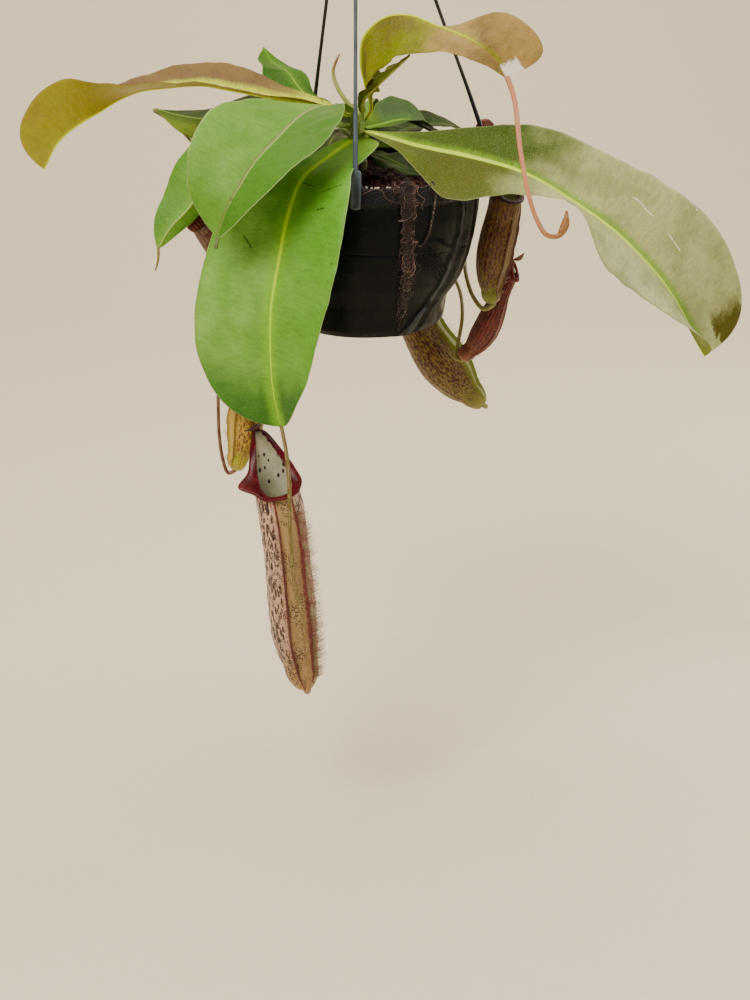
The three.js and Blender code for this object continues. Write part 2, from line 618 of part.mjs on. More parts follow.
// ---- tendrils -----------------------------------------------------------------------------------
// A tendril goes on from the tip of its leaf, passes its points, and where it bears a pitcher it runs
// into the pitcher's foot.
const TENDRILS = {
  tendril_main: {
    leaf: "leaf_front_large", pitcher: "main",
    points: [[-56, -90, -160], [-54, -97, -178], [-54, -98, -205], [-53, -98, -232], [-51, -98, -254],
      [-47, -96, -274], [-44, -93, -302], [-43.5, -90, -322], [-44, -86.5, -333], [-45, -82.5, -338.5]],
    radii: [1.3, 1.3, 1.4, 1.5, 1.7, 2], look: greenTendril, steps: 30,
  },
  tendril_second: {
    leaf: "leaf_behind_front", pitcher: "second",
    points: [[-102, -44, -165], [-100, -46, -183], [-96.5, -46.5, -192.5]],
    radii: [1.1, 1.2, 1.5], look: redTendril, steps: 14,
  },
  tendril_newest: {
    leaf: "leaf_top_newest",
    points: [[84, -53, 51], [87, -70, 24], [92, -82, -1], [97, -85, -15], [103, -86, -24], [110, -85, -25],
      [114, -84, -19], [115, -83, -10]],
    radii: [1.7, 1.6, 1.5, 1.4, 1.4, 1.5, 1.6, 2.6, 0.6], look: pinkTendril, steps: 27,
  },
  tendril_spike: {
    points: [[-14.6, -3.2, 38.1], [-20.5, -6.5, 46], [-25, -8, 55], [-26, -9, 62], [-24, -10, 68], [-22, -10, 72]],
    radii: [1.6, 1.5, 1.2, 0.9, 0.5], look: greenTendril, steps: 9,
  },
  tendril_front_left: {
    leaf: "leaf_front_left", clear: 0.4,
    points: [[-94.5, -96, -27], [-95, -96, -30]],
    radii: [1.1, 1], look: greenTendril, steps: 4,
  },
  tendril_left_low: {
    leaf: "leaf_left_low",
    points: [[-135, -55, -47], [-137, -55, -54]],
    radii: [1, 0.8, 0.5], look: greenTendril, steps: 6,
  },
  tendril_left_back: {
    leaf: "leaf_left_back", pitcher: "young_left",
    points: [[-149.8, 75, 23.5], [-146, 78, 20.5], [-138, 78, 15], [-124, 70, 3], [-108, 48, -12],
      [-95, 20, -44], [-84, -5, -78], [-83, -16, -87]],
    radii: [1, 1, 1.1, 1.2], look: greenTendril, steps: 24,
  },
  tendril_right_upper: {
    leaf: "leaf_right_back_near", pitcher: "right_upper",
    points: [[67, 62, -57], [62, 46, -66], [61, 30, -76], [66, 19, -91], [73, 14, -98]],
    radii: [1.2, 1.4, 1.8], look: greenTendril, steps: 18,
  },
  tendril_right_red: {
    leaf: "leaf_back", pitcher: "right_red",
    points: [[28, 104, -66], [46, 84, -82], [58, 58, -95], [60, 40, -110], [57, 33, -128], [55.5, 31, -137]],
    radii: [1.2, 1.3, 1.5], look: greenTendril, steps: 20,
  },
  tendril_under: {
    leaf: "leaf_back_left", pitcher: "under",
    points: [[-26, 119, -75], [8, 108, -120], [47, 92, -155], [74, 72, -182], [82, 57, -185]],
    radii: [1.2, 1.4, 1.8], look: greenTendril, steps: 18,
  },
  tendril_right_small: {
    leaf: "leaf_right_back_far", pitcher: "young_right",
    points: [[74, 95, -6], [82, 90, -19], [82.5, 82, -25]],
    radii: [1, 1, 1.1], look: greenTendril, steps: 12,
  },
};

// The direction from the first of the points to the second.
const firstStep = (points) => vector(points[1]).sub(vector(points[0])).normalize();

function tendril({ leaf, clear = GAP + 0.8, pitcher, points, radii, steps }) {
  const path = points.map(vector);
  if (leaf) {
    const rib = LEAVES[leaf].rib;
    const onward = firstStep(rib.slice(-2));
    path.unshift(vector(rib.at(-1)).addScaledVector(onward, clear));
  }
  if (pitcher) {
    const { axis } = PITCHERS[pitcher] ?? YOUNG_PITCHERS[pitcher];
    const inward = firstStep(axis);
    path.push(vector(axis[0]).addScaledVector(inward, -2.2));
    path.push(vector(axis[0]).addScaledVector(inward, -GAP - 0.15));
  }
  return rod(path.map((p) => p.toArray()), radii, steps);
}

// ---- pitchers -----------------------------------------------------------------------------------
// Each pitcher's axis runs from its foot to the back of its mouth, with its radius in a track.
// The mouth is cut aslant: at the angle theta from the front it lies a share of the way from `mouth`
// to the end of the axis, as ((1 - cos theta) / 2)^neck. `wing` is the height of its two wings, and
// `corners` is how far the lip stands out further at its right and left front corners. A lid starts
// `rise` above the back of the mouth and leans forward by `lean` degrees from the axis.
const PITCHERS = {
  main: {
    axis: [[-46.3, -78, -336.5], [-48, -74.8, -329], [-50, -73, -319], [-53, -73, -301], [-55, -74, -275],
      [-57, -75, -246], [-59, -76, -220], [-62, -76, -199], [-67, -73, -178], [-72, -68, -163], [-76, -65, -156]],
    radii: [2.2, 11, 15, 16, 15.5, 15, 15, 15, 14, 11, 7], front: [0.3, -0.95, 0], mouth: 0.765, neck: 1.9,
    wing: 3.6, around: 20, rings: 14, lip: 3.2, corners: [1, 5.4],
    lid: { length: 17, width: 15, lean: 95, rise: 3.6 },
    cup: mottledCup, rim: burgundyLip, cap: maroonLid,
  },
  second: {
    axis: [[-92, -46, -190], [-90, -46, -184], [-86, -46, -170], [-82, -47, -145], [-79, -47, -121],
      [-77, -47, -105], [-77, -46, -95]],
    radii: [2, 8, 11, 11, 10.5, 10, 7], front: [-0.8, -0.5, 0], mouth: 0.82, neck: 1.6,
    wing: 2, around: 15, rings: 9, lip: 2.6, corners: [0.8, 0.8],
    lid: { length: 15, width: 15, lean: 30, rise: 1.75 },
    cup: mottledCup, rim: burgundyLip, cap: maroonLid,
  },
  right_upper: {
    axis: [[79, 12, -93], [77, 12, -84], [77, 12, -71], [80, 10, -50], [84, 8, -30], [85, 6, -17], [86, 6, -8]],
    radii: [2, 8, 11, 11.5, 11, 10.5, 7], front: [0.8, -0.6, 0], mouth: 0.84, neck: 1.6,
    wing: 1.8, around: 15, rings: 9, lip: 2.6, corners: [0.8, 0.8],
    lid: { length: 14, width: 14, lean: 45, rise: 2.05 },
    cup: mottledCup, rim: burgundyLip, cap: maroonLid,
  },
  right_red: {
    axis: [[60, 30, -138], [63, 30, -133], [68, 30, -128], [75, 30, -117], [80, 30, -105], [86, 29, -91],
      [92, 28, -80], [95, 27, -72]],
    radii: [2, 6, 8.5, 8.5, 7, 5, 4.2, 4], front: [0.8, -0.4, -0.3], mouth: 0.88, neck: 1.5,
    wing: 1.2, around: 14, rings: 9, lip: 2, corners: [0.5, 0.5],
    lid: { length: 9, width: 8, lean: 35, rise: 2.9 },
    cup: redCup, rim: burgundyLip, cap: maroonLid,
  },
  under: {
    axis: [[77, 52, -179], [73, 53, -176], [65, 56, -170], [55, 60, -160], [44, 64, -146], [35, 69, -133],
      [28, 75, -116], [23, 80, -100], [20, 84, -89]],
    radii: [2, 9, 14.5, 16.5, 15.5, 14, 13, 12, 8], front: [0.78, -0.2, 0.6], mouth: 0.84, neck: 1.6,
    wing: 3, around: 16, rings: 11, lip: 3, corners: [0.8, 0.8],
    lid: { length: 17, width: 17, lean: 30, rise: 2.9 },
    cup: mottledCup, rim: burgundyLip, cap: maroonLid,
  },
};

// Angles from the front, closer together where the two wings stand out.
function roundAngles(count) {
  const wing = [WING_ANGLE - 7, WING_ANGLE, WING_ANGLE + 7];
  const plain = count - 2 * wing.length - 1;
  const start = WING_ANGLE + 18;
  const rest = Array.from({ length: plain }, (_, k) => start + (k * (360 - 2 * start)) / (plain - 1));
  return [...wing.map((a) => -a).reverse(), 0, ...wing, ...rest].map(radians);
}

function pitcherShape(pitcher) {
  const curve = new THREE.CatmullRomCurve3(pitcher.axis.map(vector), false, "centripetal");
  const front = vector(pitcher.front).normalize();
  const slant = (angle) =>
    pitcher.mouth + (1 - pitcher.mouth) * ((1 - Math.cos(angle)) / 2) ** pitcher.neck;
  const frame = (u) => {
    const along = curve.getTangentAt(THREE.MathUtils.clamp(u, 0, 1));
    const forward = front.clone().addScaledVector(along, -front.dot(along)).normalize();
    const centre = curve.getPointAt(THREE.MathUtils.clamp(u, 0, 1));
    return { centre, along, forward, side: along.clone().cross(forward) };
  };
  // A point of the wall at the angle, a share s of the way up to the mouth, moved out by `off`.
  const wall = (s, angle, off = 0) => {
    const u = s * slant(angle);
    const { centre, forward, side } = frame(u);
    const radius = track(pitcher.radii, u) + off;
    return centre
      .clone()
      .addScaledVector(forward, radius * Math.cos(angle))
      .addScaledVector(side, radius * Math.sin(angle));
  };
  return { slant, frame, wall };
}

function cup(pitcher) {
  const { wall } = pitcherShape(pitcher);
  const angles = roundAngles(pitcher.around);
  const ring = (s, off, winged) =>
    angles.map((angle, j) => {
      const onWing = winged && (j === 1 || j === 5);
      const rise = onWing ? pitcher.wing * Math.min(Math.sin(Math.PI * s ** 0.8) * 1.6, 1) : 0;
      return wall(s, angle, off + rise);
    });
  const outside = Array.from({ length: pitcher.rings + 1 }, (_, i) =>
    ring((i / pitcher.rings) ** 1.25, 0, true),
  );
  const inner = Math.round(pitcher.rings * 0.7);
  const inside = Array.from({ length: inner + 1 }, (_, i) =>
    ring(1 - ((1 - CUP_FLOOR) * i) / inner, -CUP_WALL, false),
  );
  return loft([...outside, ...inside]);
}

// The lip is a rolled ring that lies on the mouth, wider at its two front corners.
function lip(pitcher) {
  const { frame, slant, wall } = pitcherShape(pitcher);
  const angles = roundAngles(pitcher.around);
  const count = angles.length;
  const rings = angles.map((angle, k) => {
    const here = wall(1, angle, -CUP_WALL / 2);
    const tangent = wall(1, angles[(k + 1) % count], -CUP_WALL / 2).sub(
      wall(1, angles[(k + count - 1) % count], -CUP_WALL / 2),
    ).normalize();
    const { forward, side, along } = frame(slant(angle));
    const radial = forward.clone().multiplyScalar(Math.cos(angle)).addScaledVector(side, Math.sin(angle));
    const out = radial.addScaledVector(tangent, -radial.dot(tangent)).normalize();
    const up = along.clone().addScaledVector(tangent, -along.dot(tangent)).addScaledVector(out, -along.dot(out));
    up.normalize();
    const cornerAngles = [LIP_CORNER_ANGLE, 2 * Math.PI - LIP_CORNER_ANGLE];
    const [rightCorner, leftCorner] = cornerAngles.map(
      (at, corner) => pitcher.corners[corner] * Math.exp(-(((angle - at) / 0.35) ** 2)),
    );
    const width = pitcher.lip * (0.75 + 0.25 * Math.cos(angle)) + rightCorner + leftCorner;
    const rise = GAP + 0.35;
    const section = [
      [-1.3, rise], [-1.5, rise + 1], [0, rise + 1.7], [width * 0.6, rise + 1.6], [width, rise + 0.6],
      [width * 0.9, rise - 0.6], [1.4, rise + 0.1],
    ];
    return section.map(([o, h]) => here.clone().addScaledVector(out, o).addScaledVector(up, h));
  });
  return loft(rings, true);
}

// The lid is a thin domed oval on the back of the lip, leaning forward over the mouth.
function lid(pitcher) {
  const { frame } = pitcherShape(pitcher);
  const { length, width, lean, rise } = pitcher.lid;
  const { centre, along, forward, side } = frame(1);
  const radius = pitcher.radii.at(-1);
  const direction = along.clone().applyAxisAngle(side, radians(lean)).normalize();
  const normal = side.clone().cross(direction);
  const start = centre
    .clone()
    .addScaledVector(forward, -radius)
    .addScaledVector(along, rise);
  const rows = [0, 0.12, 0.3, 0.5, 0.7, 0.88, 1];
  const rings = rows.map((t) => {
    const half = Math.max((width / 2) * Math.sqrt(Math.max(1 - (2 * t - 1) ** 2, 0)), 1);
    const dome = LID_DOME * Math.sin(Math.PI * t);
    const middle = start.clone().addScaledVector(direction, t * length);
    const across = [-1, -0.5, 0, 0.5, 1];
    const face = (lift) =>
      across.map((a) =>
        middle
          .clone()
          .addScaledVector(side, a * half)
          .addScaledVector(normal, dome * (1 - a * a) + lift),
      );
    return [...face(LID_THICKNESS / 2), ...face(-LID_THICKNESS / 2).reverse()];
  });
  return loft(rings);
}

// The smallest pitchers are still closed: a solid body with a ribbed cap on it.
const YOUNG_PITCHERS = {
  young_left: {
    axis: [[-87, -22, -82], [-96, -24, -60], [-106, -28, -40], [-111, -30, -32]],
    radii: [1.2, 4.5, 6, 6, 5.2],
    cap: [[-111.5, -30.2, -31.2], [-114, -31, -28], [-116, -32, -25]],
    capRadii: [6, 6.4, 3],
  },
  young_right: {
    axis: [[80, 76, -20], [78, 74, -8], [76, 72.5, 3], [75, 72, 9]],
    radii: [1.2, 4.5, 5.6, 5.6, 5],
    cap: [[74.9, 72, 10], [74.4, 71.6, 14.5], [74, 71, 18]],
    capRadii: [5.8, 6.2, 3],
  },
};

// ---- assembly -----------------------------------------------------------------------------------
add("pot", pot(), blackPlastic);
add("potting_mix", pottingMix(), coir);
add("root_hank", rootHank(), rootFibre);
add("root_thin", thinRoot(), rootFibre);
add("hanger_strand_front", strand(-9.4, []), greyPlastic);
add("hanger_strand_left", strand(-144, []), blackPlastic);
add("hanger_strand_right", strand(100, [[62, 18, 40], [38, 15, 102]]), blackPlastic);
add("hanger_hook", hook(), blackPlastic);
add("stem", stem(), greenStem);
for (const [name, leaf] of Object.entries(LEAVES)) {
  add(name, blade(leaf), leaf.look);
}
for (const [name, shape] of Object.entries(TENDRILS)) {
  add(name, tendril(shape), shape.look);
}
for (const [name, pitcher] of Object.entries(PITCHERS)) {
  add(`pitcher_${name}_cup`, cup(pitcher), pitcher.cup);
  add(`pitcher_${name}_lip`, lip(pitcher), pitcher.rim);
  add(`pitcher_${name}_lid`, lid(pitcher), pitcher.cap);
}
for (const [name, young] of Object.entries(YOUNG_PITCHERS)) {
  add(`pitcher_${name}_body`, rod(young.axis, young.radii, 8, 10), redCup);
  add(`pitcher_${name}_cap`, rod(young.cap, young.capRadii, 4, 10), burgundyLip);
}

export default plant;
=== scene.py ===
# %% [markdown]
# # A hanging pitcher plant
#
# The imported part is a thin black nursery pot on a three-strand hanger, with one pitcher plant in it. Its
# solids are right in size and place but plain. This lesson dresses them: each solid is worked out again
# as a finer surface from the same few numbers, and gets a finish made of nodes.
#
# Everything is measured as the part was: in millimetres from the middle of the pot's rim, with the
# viewer toward -Y, and it is moved to the part's own origin, where the hook bears, as it is made.

# %% Load the frame
import math

import bpy
import numpy as np
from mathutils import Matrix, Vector


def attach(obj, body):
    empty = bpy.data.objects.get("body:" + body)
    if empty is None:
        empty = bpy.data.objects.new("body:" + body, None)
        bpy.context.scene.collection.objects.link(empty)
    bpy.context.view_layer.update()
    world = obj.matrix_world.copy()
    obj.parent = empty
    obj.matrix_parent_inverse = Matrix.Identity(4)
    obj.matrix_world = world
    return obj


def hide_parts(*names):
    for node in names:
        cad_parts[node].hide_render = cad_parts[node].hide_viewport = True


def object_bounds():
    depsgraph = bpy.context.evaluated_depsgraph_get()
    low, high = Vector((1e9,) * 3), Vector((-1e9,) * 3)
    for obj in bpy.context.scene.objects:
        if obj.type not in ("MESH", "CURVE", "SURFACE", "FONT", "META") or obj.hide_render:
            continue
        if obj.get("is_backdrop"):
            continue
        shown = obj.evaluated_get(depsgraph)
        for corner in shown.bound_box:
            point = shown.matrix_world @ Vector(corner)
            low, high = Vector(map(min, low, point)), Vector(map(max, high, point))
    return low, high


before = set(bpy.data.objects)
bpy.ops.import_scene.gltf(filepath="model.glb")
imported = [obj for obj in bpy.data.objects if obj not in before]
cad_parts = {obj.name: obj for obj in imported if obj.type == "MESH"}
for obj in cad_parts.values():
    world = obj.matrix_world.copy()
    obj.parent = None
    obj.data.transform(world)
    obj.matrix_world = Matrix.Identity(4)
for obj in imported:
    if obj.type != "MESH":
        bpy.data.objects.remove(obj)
cad_box = [list(corner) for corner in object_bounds()]
print("nodes in the frame:", len(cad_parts))

# %% [markdown]
# ## The camera first
#
# The photograph looks down on the plant by some 22 degrees from a little over a metre away. A 62 mm lens
# on a 36 mm frame gives the same widening toward the viewer, which shows in the big front leaf. With the
# camera set before anything is made, every later piece can be judged where the photograph shows it.

# %% Camera
camera = bpy.data.objects.new("camera", bpy.data.cameras.new("camera"))
bpy.context.scene.collection.objects.link(camera)
camera.data.lens = 62
camera.location = (0.0107, -1.1053, -0.06115)
camera.rotation_euler = (math.radians(68.055), 0, 0)
bpy.context.scene.camera = camera
print("camera stands", round(camera.location.length, 2), "m from the hook")

# %% [markdown]
# ## Curves, tracks and skins
#
# A plant is nearly all curves with something carried along them: a tendril is a ring carried along a
# line, a leaf is a strip, a pitcher is a ring whose radius swells. So four helpers come first. `spline`
# runs a smooth line through a few points, `carried` brings a side direction along it without twist,
# `track` reads a few values smoothly, and `skin` joins the rings of points into faces.
# They work on whole arrays, so a fine surface costs no more lines than a coarse one.

# %% Curves
HOOK_BEARS = np.array([-10.7, 0.0, 276.0])
MM_PER_METRE = 1000


def unit(vectors):
    """Each vector divided by its own length."""
    return vectors / np.maximum(np.linalg.norm(vectors, axis=-1, keepdims=True), 1e-12)


def spline(points, shares, even=True):
    """Points and directions of a smooth curve through the points, at shares of its way from 0 to 1.

    Each span is a cubic whose end slopes come from the neighbouring points, weighed by the square root
    of their distances, so that the curve neither loops nor overshoots. `even` spaces the shares by length.
    """
    p = np.asarray(points, float)
    p = np.vstack([2 * p[0] - p[1], p, 2 * p[-1] - p[-2]])
    gap = np.sqrt(np.linalg.norm(np.diff(p, axis=0), axis=1))[:, None]
    d0, d1, d2 = gap[:-2], gap[1:-1], gap[2:]
    p0, p1, p2, p3 = p[:-3], p[1:-2], p[2:-1], p[3:]
    m1 = ((p1 - p0) / d0 - (p2 - p0) / (d0 + d1) + (p2 - p1) / d1) * d1
    m2 = ((p2 - p1) / d1 - (p3 - p1) / (d1 + d2) + (p3 - p2) / d2) * d1
    square, cube = -3 * p1 + 3 * p2 - 2 * m1 - m2, 2 * p1 - 2 * p2 + m1 + m2

    def at(where):
        i = np.clip(where.astype(int), 0, len(p1) - 1)
        w = (where - i)[:, None]
        place = p1[i] + w * (m1[i] + w * (square[i] + w * cube[i]))
        return place, unit(m1[i] + w * (2 * square[i] + w * 3 * cube[i]))

    where = np.asarray(shares, float) * len(p1)
    if even:
        dense = np.linspace(0, len(p1), 40 * len(p1) + 1)
        steps = np.linalg.norm(np.diff(at(dense)[0], axis=0), axis=1)
        length = np.concatenate([[0], np.cumsum(steps)])
        where = np.interp(where / len(p1) * length[-1], length, dense)
    return at(where)


def stacked(*parts):
    """Vectors from their three parts, each stretched to the same rows and columns."""
    return np.stack(np.broadcast_arrays(*parts), -1)


def carried(along, first_side):
    """A side direction for each station: the one before it, with its part along the curve taken out."""
    sides = [np.asarray(first_side, float)]
    for direction in along:
        side = sides[-1] - direction * (sides[-1] @ direction)
        sides.append(side / np.linalg.norm(side))
    return np.array(sides[1:])


def track(values, t):
    """Values spread evenly from 0 to 1, read at t with a smooth cubic between neighbours."""
    v = np.asarray(values, float)
    v = np.concatenate([[2 * v[0] - v[1]], v, [2 * v[-1] - v[-2]]])
    place = np.clip(t, 0, 1) * (len(v) - 3)
    i = np.minimum(place.astype(int), len(v) - 4)
    f = place - i
    a, b, c, d = v[i], v[i + 1], v[i + 2], v[i + 3]
    return b + 0.5 * f * (c - a + f * (2 * a - 5 * b + 4 * c - d + f * (3 * (b - c) + d - a)))


def smooth(low, high, x):
    """0 below low, 1 above high, and an S curve between them."""
    s = np.clip((np.asarray(x, float) - low) / (high - low), 0, 1)
    return s * s * (3 - 2 * s)


def ripple(points, size, seed):
    """A soft random height from -1 to 1: four sine waves about `size` long that cross at random angles."""
    chance = np.random.default_rng(seed)
    wave = unit(chance.normal(size=(4, 3))) * chance.uniform(0.7, 1.5, (4, 1)) * 2 * np.pi / size
    return np.sin(np.asarray(points) @ wave.T + chance.uniform(0, 6.28, 4)).sum(-1) / 2.4


print("length of a unit vector:", float(np.linalg.norm(unit(np.array([3.0, 4.0, 0.0])))))

# %% Skins and pieces
def skin(rows, around, closed=False):
    """Four-sided faces that join each ring to the next. Open ends are closed by one face, and a closed
    skin joins its last ring to its first."""
    i = np.arange(rows if closed else rows - 1)[:, None]
    j = np.arange(around)[None, :]
    k, n = (j + 1) % around, (i + 1) % rows
    faces = np.stack([i * around + j, i * around + k, n * around + k, n * around + j], -1)
    faces = faces.reshape(-1, 4).tolist()
    if not closed:
        faces.append(list(range(around))[::-1])
        faces.append(list(range((rows - 1) * around, rows * around)))
    return faces


def outward(points, faces):
    """The faces turned round if they face inwards, which is when the volume they enclose is negative."""
    points = np.reshape(points, (-1, 3))
    corners = points[np.array([face[:3] for face in faces])] - points.mean(0)
    others = points[np.array([[face[0], face[-2], face[-1]] for face in faces])] - points.mean(0)
    volume = sum(np.einsum("ij,ij->i", c[:, 0], np.cross(c[:, 1], c[:, 2])).sum() for c in (corners, others))
    return faces if volume > 0 else [face[::-1] for face in faces]


def add_piece(name, form, finish, slot, node=None, **attributes):
    """Makes a smooth mesh in the part's frame. The form is a grid of points or a (points, faces) pair. Each
    attribute has a value for every point, or one for every rod, which all the rod's points then share."""
    points, faces = form if isinstance(form, tuple) else (form, skin(*form.shape[:2]))
    points = np.reshape(points, (-1, 3))
    mesh = bpy.data.meshes.new(name)
    mesh.from_pydata(((points - HOOK_BEARS) / MM_PER_METRE).tolist(), [], faces)
    mesh.polygons.foreach_set("use_smooth", np.ones(len(mesh.polygons), bool))
    for label, values in attributes.items():
        wide = np.shape(values)[-1] == 3
        values = np.reshape(values, (-1, 3 if wide else 1)).astype(np.float32)
        held = mesh.attributes.new(label, "FLOAT_VECTOR" if wide else "FLOAT", "POINT")
        shared = np.repeat(values, len(points) // len(values), axis=0)
        held.data.foreach_set("vector" if wide else "value", shared.ravel())
    mesh.materials.append(finish.material)
    piece = bpy.data.objects.new(name, mesh)
    bpy.context.scene.collection.objects.link(piece)
    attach(piece, "root")
    if node:
        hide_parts(node)
    return piece


def gathered(grids):
    """One (points, faces) pair from several grids of points, each closed by itself."""
    points, faces = [], []
    for grid in grids:
        start = sum(len(p) for p in points)
        points.append(grid.reshape(-1, 3))
        faces += [[v + start for v in face] for face in outward(grid, skin(*grid.shape[:2]))]
    return np.vstack(points), faces


def rod(points, radii, steps, sides, even=False):
    """A round rod through the points. Ring: line + radius * (side * cos - up * sin). Its attributes are the
    straightened coordinates, across the rod in x and y and along it in z, and the share of its length."""
    t = np.linspace(0, 1, steps + 1)
    line, along = spline(points, t, even)
    side = carried(along, np.cross(np.subtract(points[1], points[0]), [0.3, 0.9, 0.2]))
    up = np.cross(side, along)
    angle = np.arange(sides) * 2 * np.pi / sides
    radius = track(radii, t)[:, None]
    ring = np.cos(angle)[:, None] * side[:, None] - np.sin(angle)[:, None] * up[:, None]
    gone = np.concatenate([[0], np.cumsum(np.linalg.norm(np.diff(line, axis=0), axis=1))])[:, None]
    grown = stacked(radius * np.cos(angle), radius * np.sin(angle), gone)
    return line[:, None] + radius[..., None] * ring, {"grown": grown, "share": np.repeat(t, sides)}


def hairs(paths, thickness, sides=3):
    """Many thin rods at once. `paths` is (rods, steps, 3) and `thickness` (rods, steps)."""
    count, steps = paths.shape[:2]
    along = unit(np.gradient(paths, axis=1))
    side = unit(np.cross(along, [0.31, 0.87, 0.38]))
    up = np.cross(side, along)
    angle = np.arange(sides) * 2 * np.pi / sides
    ring = np.cos(angle)[:, None] * side[:, :, None] - np.sin(angle)[:, None] * up[:, :, None]
    points = paths[:, :, None] + thickness[:, :, None, None] * ring
    one = skin(steps, sides)
    faces = [[v + h * steps * sides for v in face] for h in range(count) for face in one]
    return points.reshape(-1, 3), faces


# %% [markdown]
# ## Nodes with short names
#
# A finish is a small network of nodes that ends in one shader. Written out in full, each node takes
# several lines, so a `Net` has a verb for each step: it adds the node, sets or links its sockets and hands
# back its output. Colours are given as they look on a screen, such as "8fb25f", and turned into the linear
# numbers that light adds up in. A `Finish` is the net of a material, a `Group` that of a node group.

# %% Node helpers
def tint(code):
    """A screen colour such as "8fb25f" as linear red, green, blue and full alpha."""
    part = np.array([int(code[i:i + 2], 16) for i in (0, 2, 4)]) / 255
    linear = np.where(part <= 0.04045, part / 12.92, ((part + 0.055) / 1.055) ** 2.4)
    return (*linear.tolist(), 1.0)


class Net:
    """The nodes of a material or a group. A socket takes a number, a vector, a screen colour or an output."""

    def __init__(self, tree):
        self.tree = tree

    def fill(self, node, sockets):
        """Sets or links a node's sockets."""
        for key, value in sockets.items():
            if isinstance(value, bpy.types.NodeSocket):
                self.tree.links.new(value, node.inputs[key])
            else:
                node.inputs[key].default_value = tint(value) if isinstance(value, str) else value
        return node

    def put(self, kind, sockets, **settings):
        """Adds a node of any kind."""
        node = self.tree.nodes.new("ShaderNode" + kind)
        for key, value in settings.items():
            setattr(node, key, value)
        return self.fill(node, sockets)

    def use(self, group, sockets):
        """Places a node group and gives its outputs. A name's underscores stand for spaces."""
        node = self.tree.nodes.new("ShaderNodeGroup")
        node.node_tree = group.tree
        return self.fill(node, {key.replace("_", " "): value for key, value in sockets.items()}).outputs

    def mixed(self, share, first, second):
        """The first colour where the share is 0, the second where it is 1."""
        return self.put("Mix", {0: share, 6: first, 7: second}, data_type="RGBA").outputs[2]

    def span(self, value, low, high, at_low=0.0, at_high=1.0):
        """Turns low..high into at_low..at_high along an S curve."""
        sockets = {"Value": value, "From Min": low, "From Max": high, "To Min": at_low, "To Max": at_high}
        return self.put("MapRange", sockets, interpolation_type="SMOOTHSTEP").outputs["Result"]

    def times(self, first, second):
        """The product of two values that change over the surface."""
        return self.put("Math", {0: first, 1: second}, operation="MULTIPLY").outputs[0]

    def plus(self, first, second):
        """Their sum."""
        return self.put("Math", {0: first, 1: second}, operation="ADD").outputs[0]

    def minus(self, first, second):
        """Their difference."""
        return self.put("Math", {0: first, 1: second}, operation="SUBTRACT").outputs[0]

    def over(self, first, second):
        """Their quotient."""
        return self.put("Math", {0: first, 1: second}, operation="DIVIDE").outputs[0]

    def size(self, value):
        """A value without its sign."""
        return self.put("Math", {0: value, 1: 0.0}, operation="ABSOLUTE").outputs[0]

    def cloud(self, where, scale, detail=3.0, roughness=0.5):
        """Soft random values from 0 to 1 with patches about 1 / scale across."""
        sockets = {"Vector": where, "Scale": scale, "Detail": detail, "Roughness": roughness}
        return self.put("TexNoise", sockets).outputs["Fac"]

    def stretched(self, where, x, y, z):
        """Coordinates scaled by their own number each, so that a pattern on them is drawn out."""
        return self.put("Mapping", {"Vector": where, "Scale": (x, y, z)}).outputs["Vector"]

    def where(self):
        """The place in the part's frame, in metres."""
        return self.put("TexCoord", {}).outputs["Object"]

    def stored(self, name, output="Vector"):
        """A vector that was stored on the piece's points, or a number with the output "Fac"."""
        node = self.put("Attribute", {}, attribute_name=name, attribute_type="GEOMETRY")
        return node.outputs[output]

    def split(self, vector):
        """The three parts of a vector."""
        return self.put("SeparateXYZ", {"Vector": vector}).outputs

    def freckled(self, where, per_metre, size, amount):
        """Where freckles lie, from the group below."""
        sockets = {"Where": where, "Per metre": per_metre, "Size": size, "Amount": amount}
        return self.use(freckles, sockets)["Mask"]


class Finish(Net):
    """A material's net, with the shader's even values set on its own sockets."""

    def __init__(self, name, **sockets):
        self.material = bpy.data.materials.new(name)
        self.material.use_nodes = True
        super().__init__(self.material.node_tree)
        self.shader = self.tree.nodes["Principled BSDF"]
        self.feed(**sockets)

    def feed(self, **sockets):
        """Sets or links the shader's sockets by name."""
        self.fill(self.shader, {key.replace("_", " "): value for key, value in sockets.items()})

    def bumped(self, height, depth):
        """Feeds a height into the shader's normal. Depth is how many metres a height of 1 stands up."""
        bump = self.put("Bump", {"Height": height, "Distance": depth, "Strength": 1.0})
        self.feed(Normal=bump.outputs["Normal"])


class Group(Net):
    """A node group's net. An input is a vector if it is None, and else a colour or a number by its value."""

    def __init__(self, name, inputs, outputs):
        super().__init__(bpy.data.node_groups.new(name, "ShaderNodeTree"))
        for label, value in inputs.items():
            kind = "Vector" if value is None else "Color" if isinstance(value, str) else "Float"
            socket = self.socket(label, "INPUT", kind)
            if value is not None:
                socket.default_value = tint(value) if kind == "Color" else value
        for label in outputs:
            self.socket(label, "OUTPUT", "Color" if label == "Color" else "Float")
        self.given = self.tree.nodes.new("NodeGroupInput").outputs
        self.result = self.tree.nodes.new("NodeGroupOutput")

    def socket(self, label, side, kind):
        """One named input or output."""
        name = label.replace("_", " ")
        return self.tree.interface.new_socket(name=name, in_out=side, socket_type="NodeSocket" + kind)

    def give(self, **outputs):
        """Links what the group puts out."""
        self.fill(self.result, outputs)


# %% [markdown]
# ## Effects that many finishes share
#
# Freckles sit on leaves, tendrils and pitchers alike: tiny dots of another colour, thick in some places
# and absent in others. Dust lies on plastic. Each is one node group, built once, and every finish places
# it with its own size and amount.

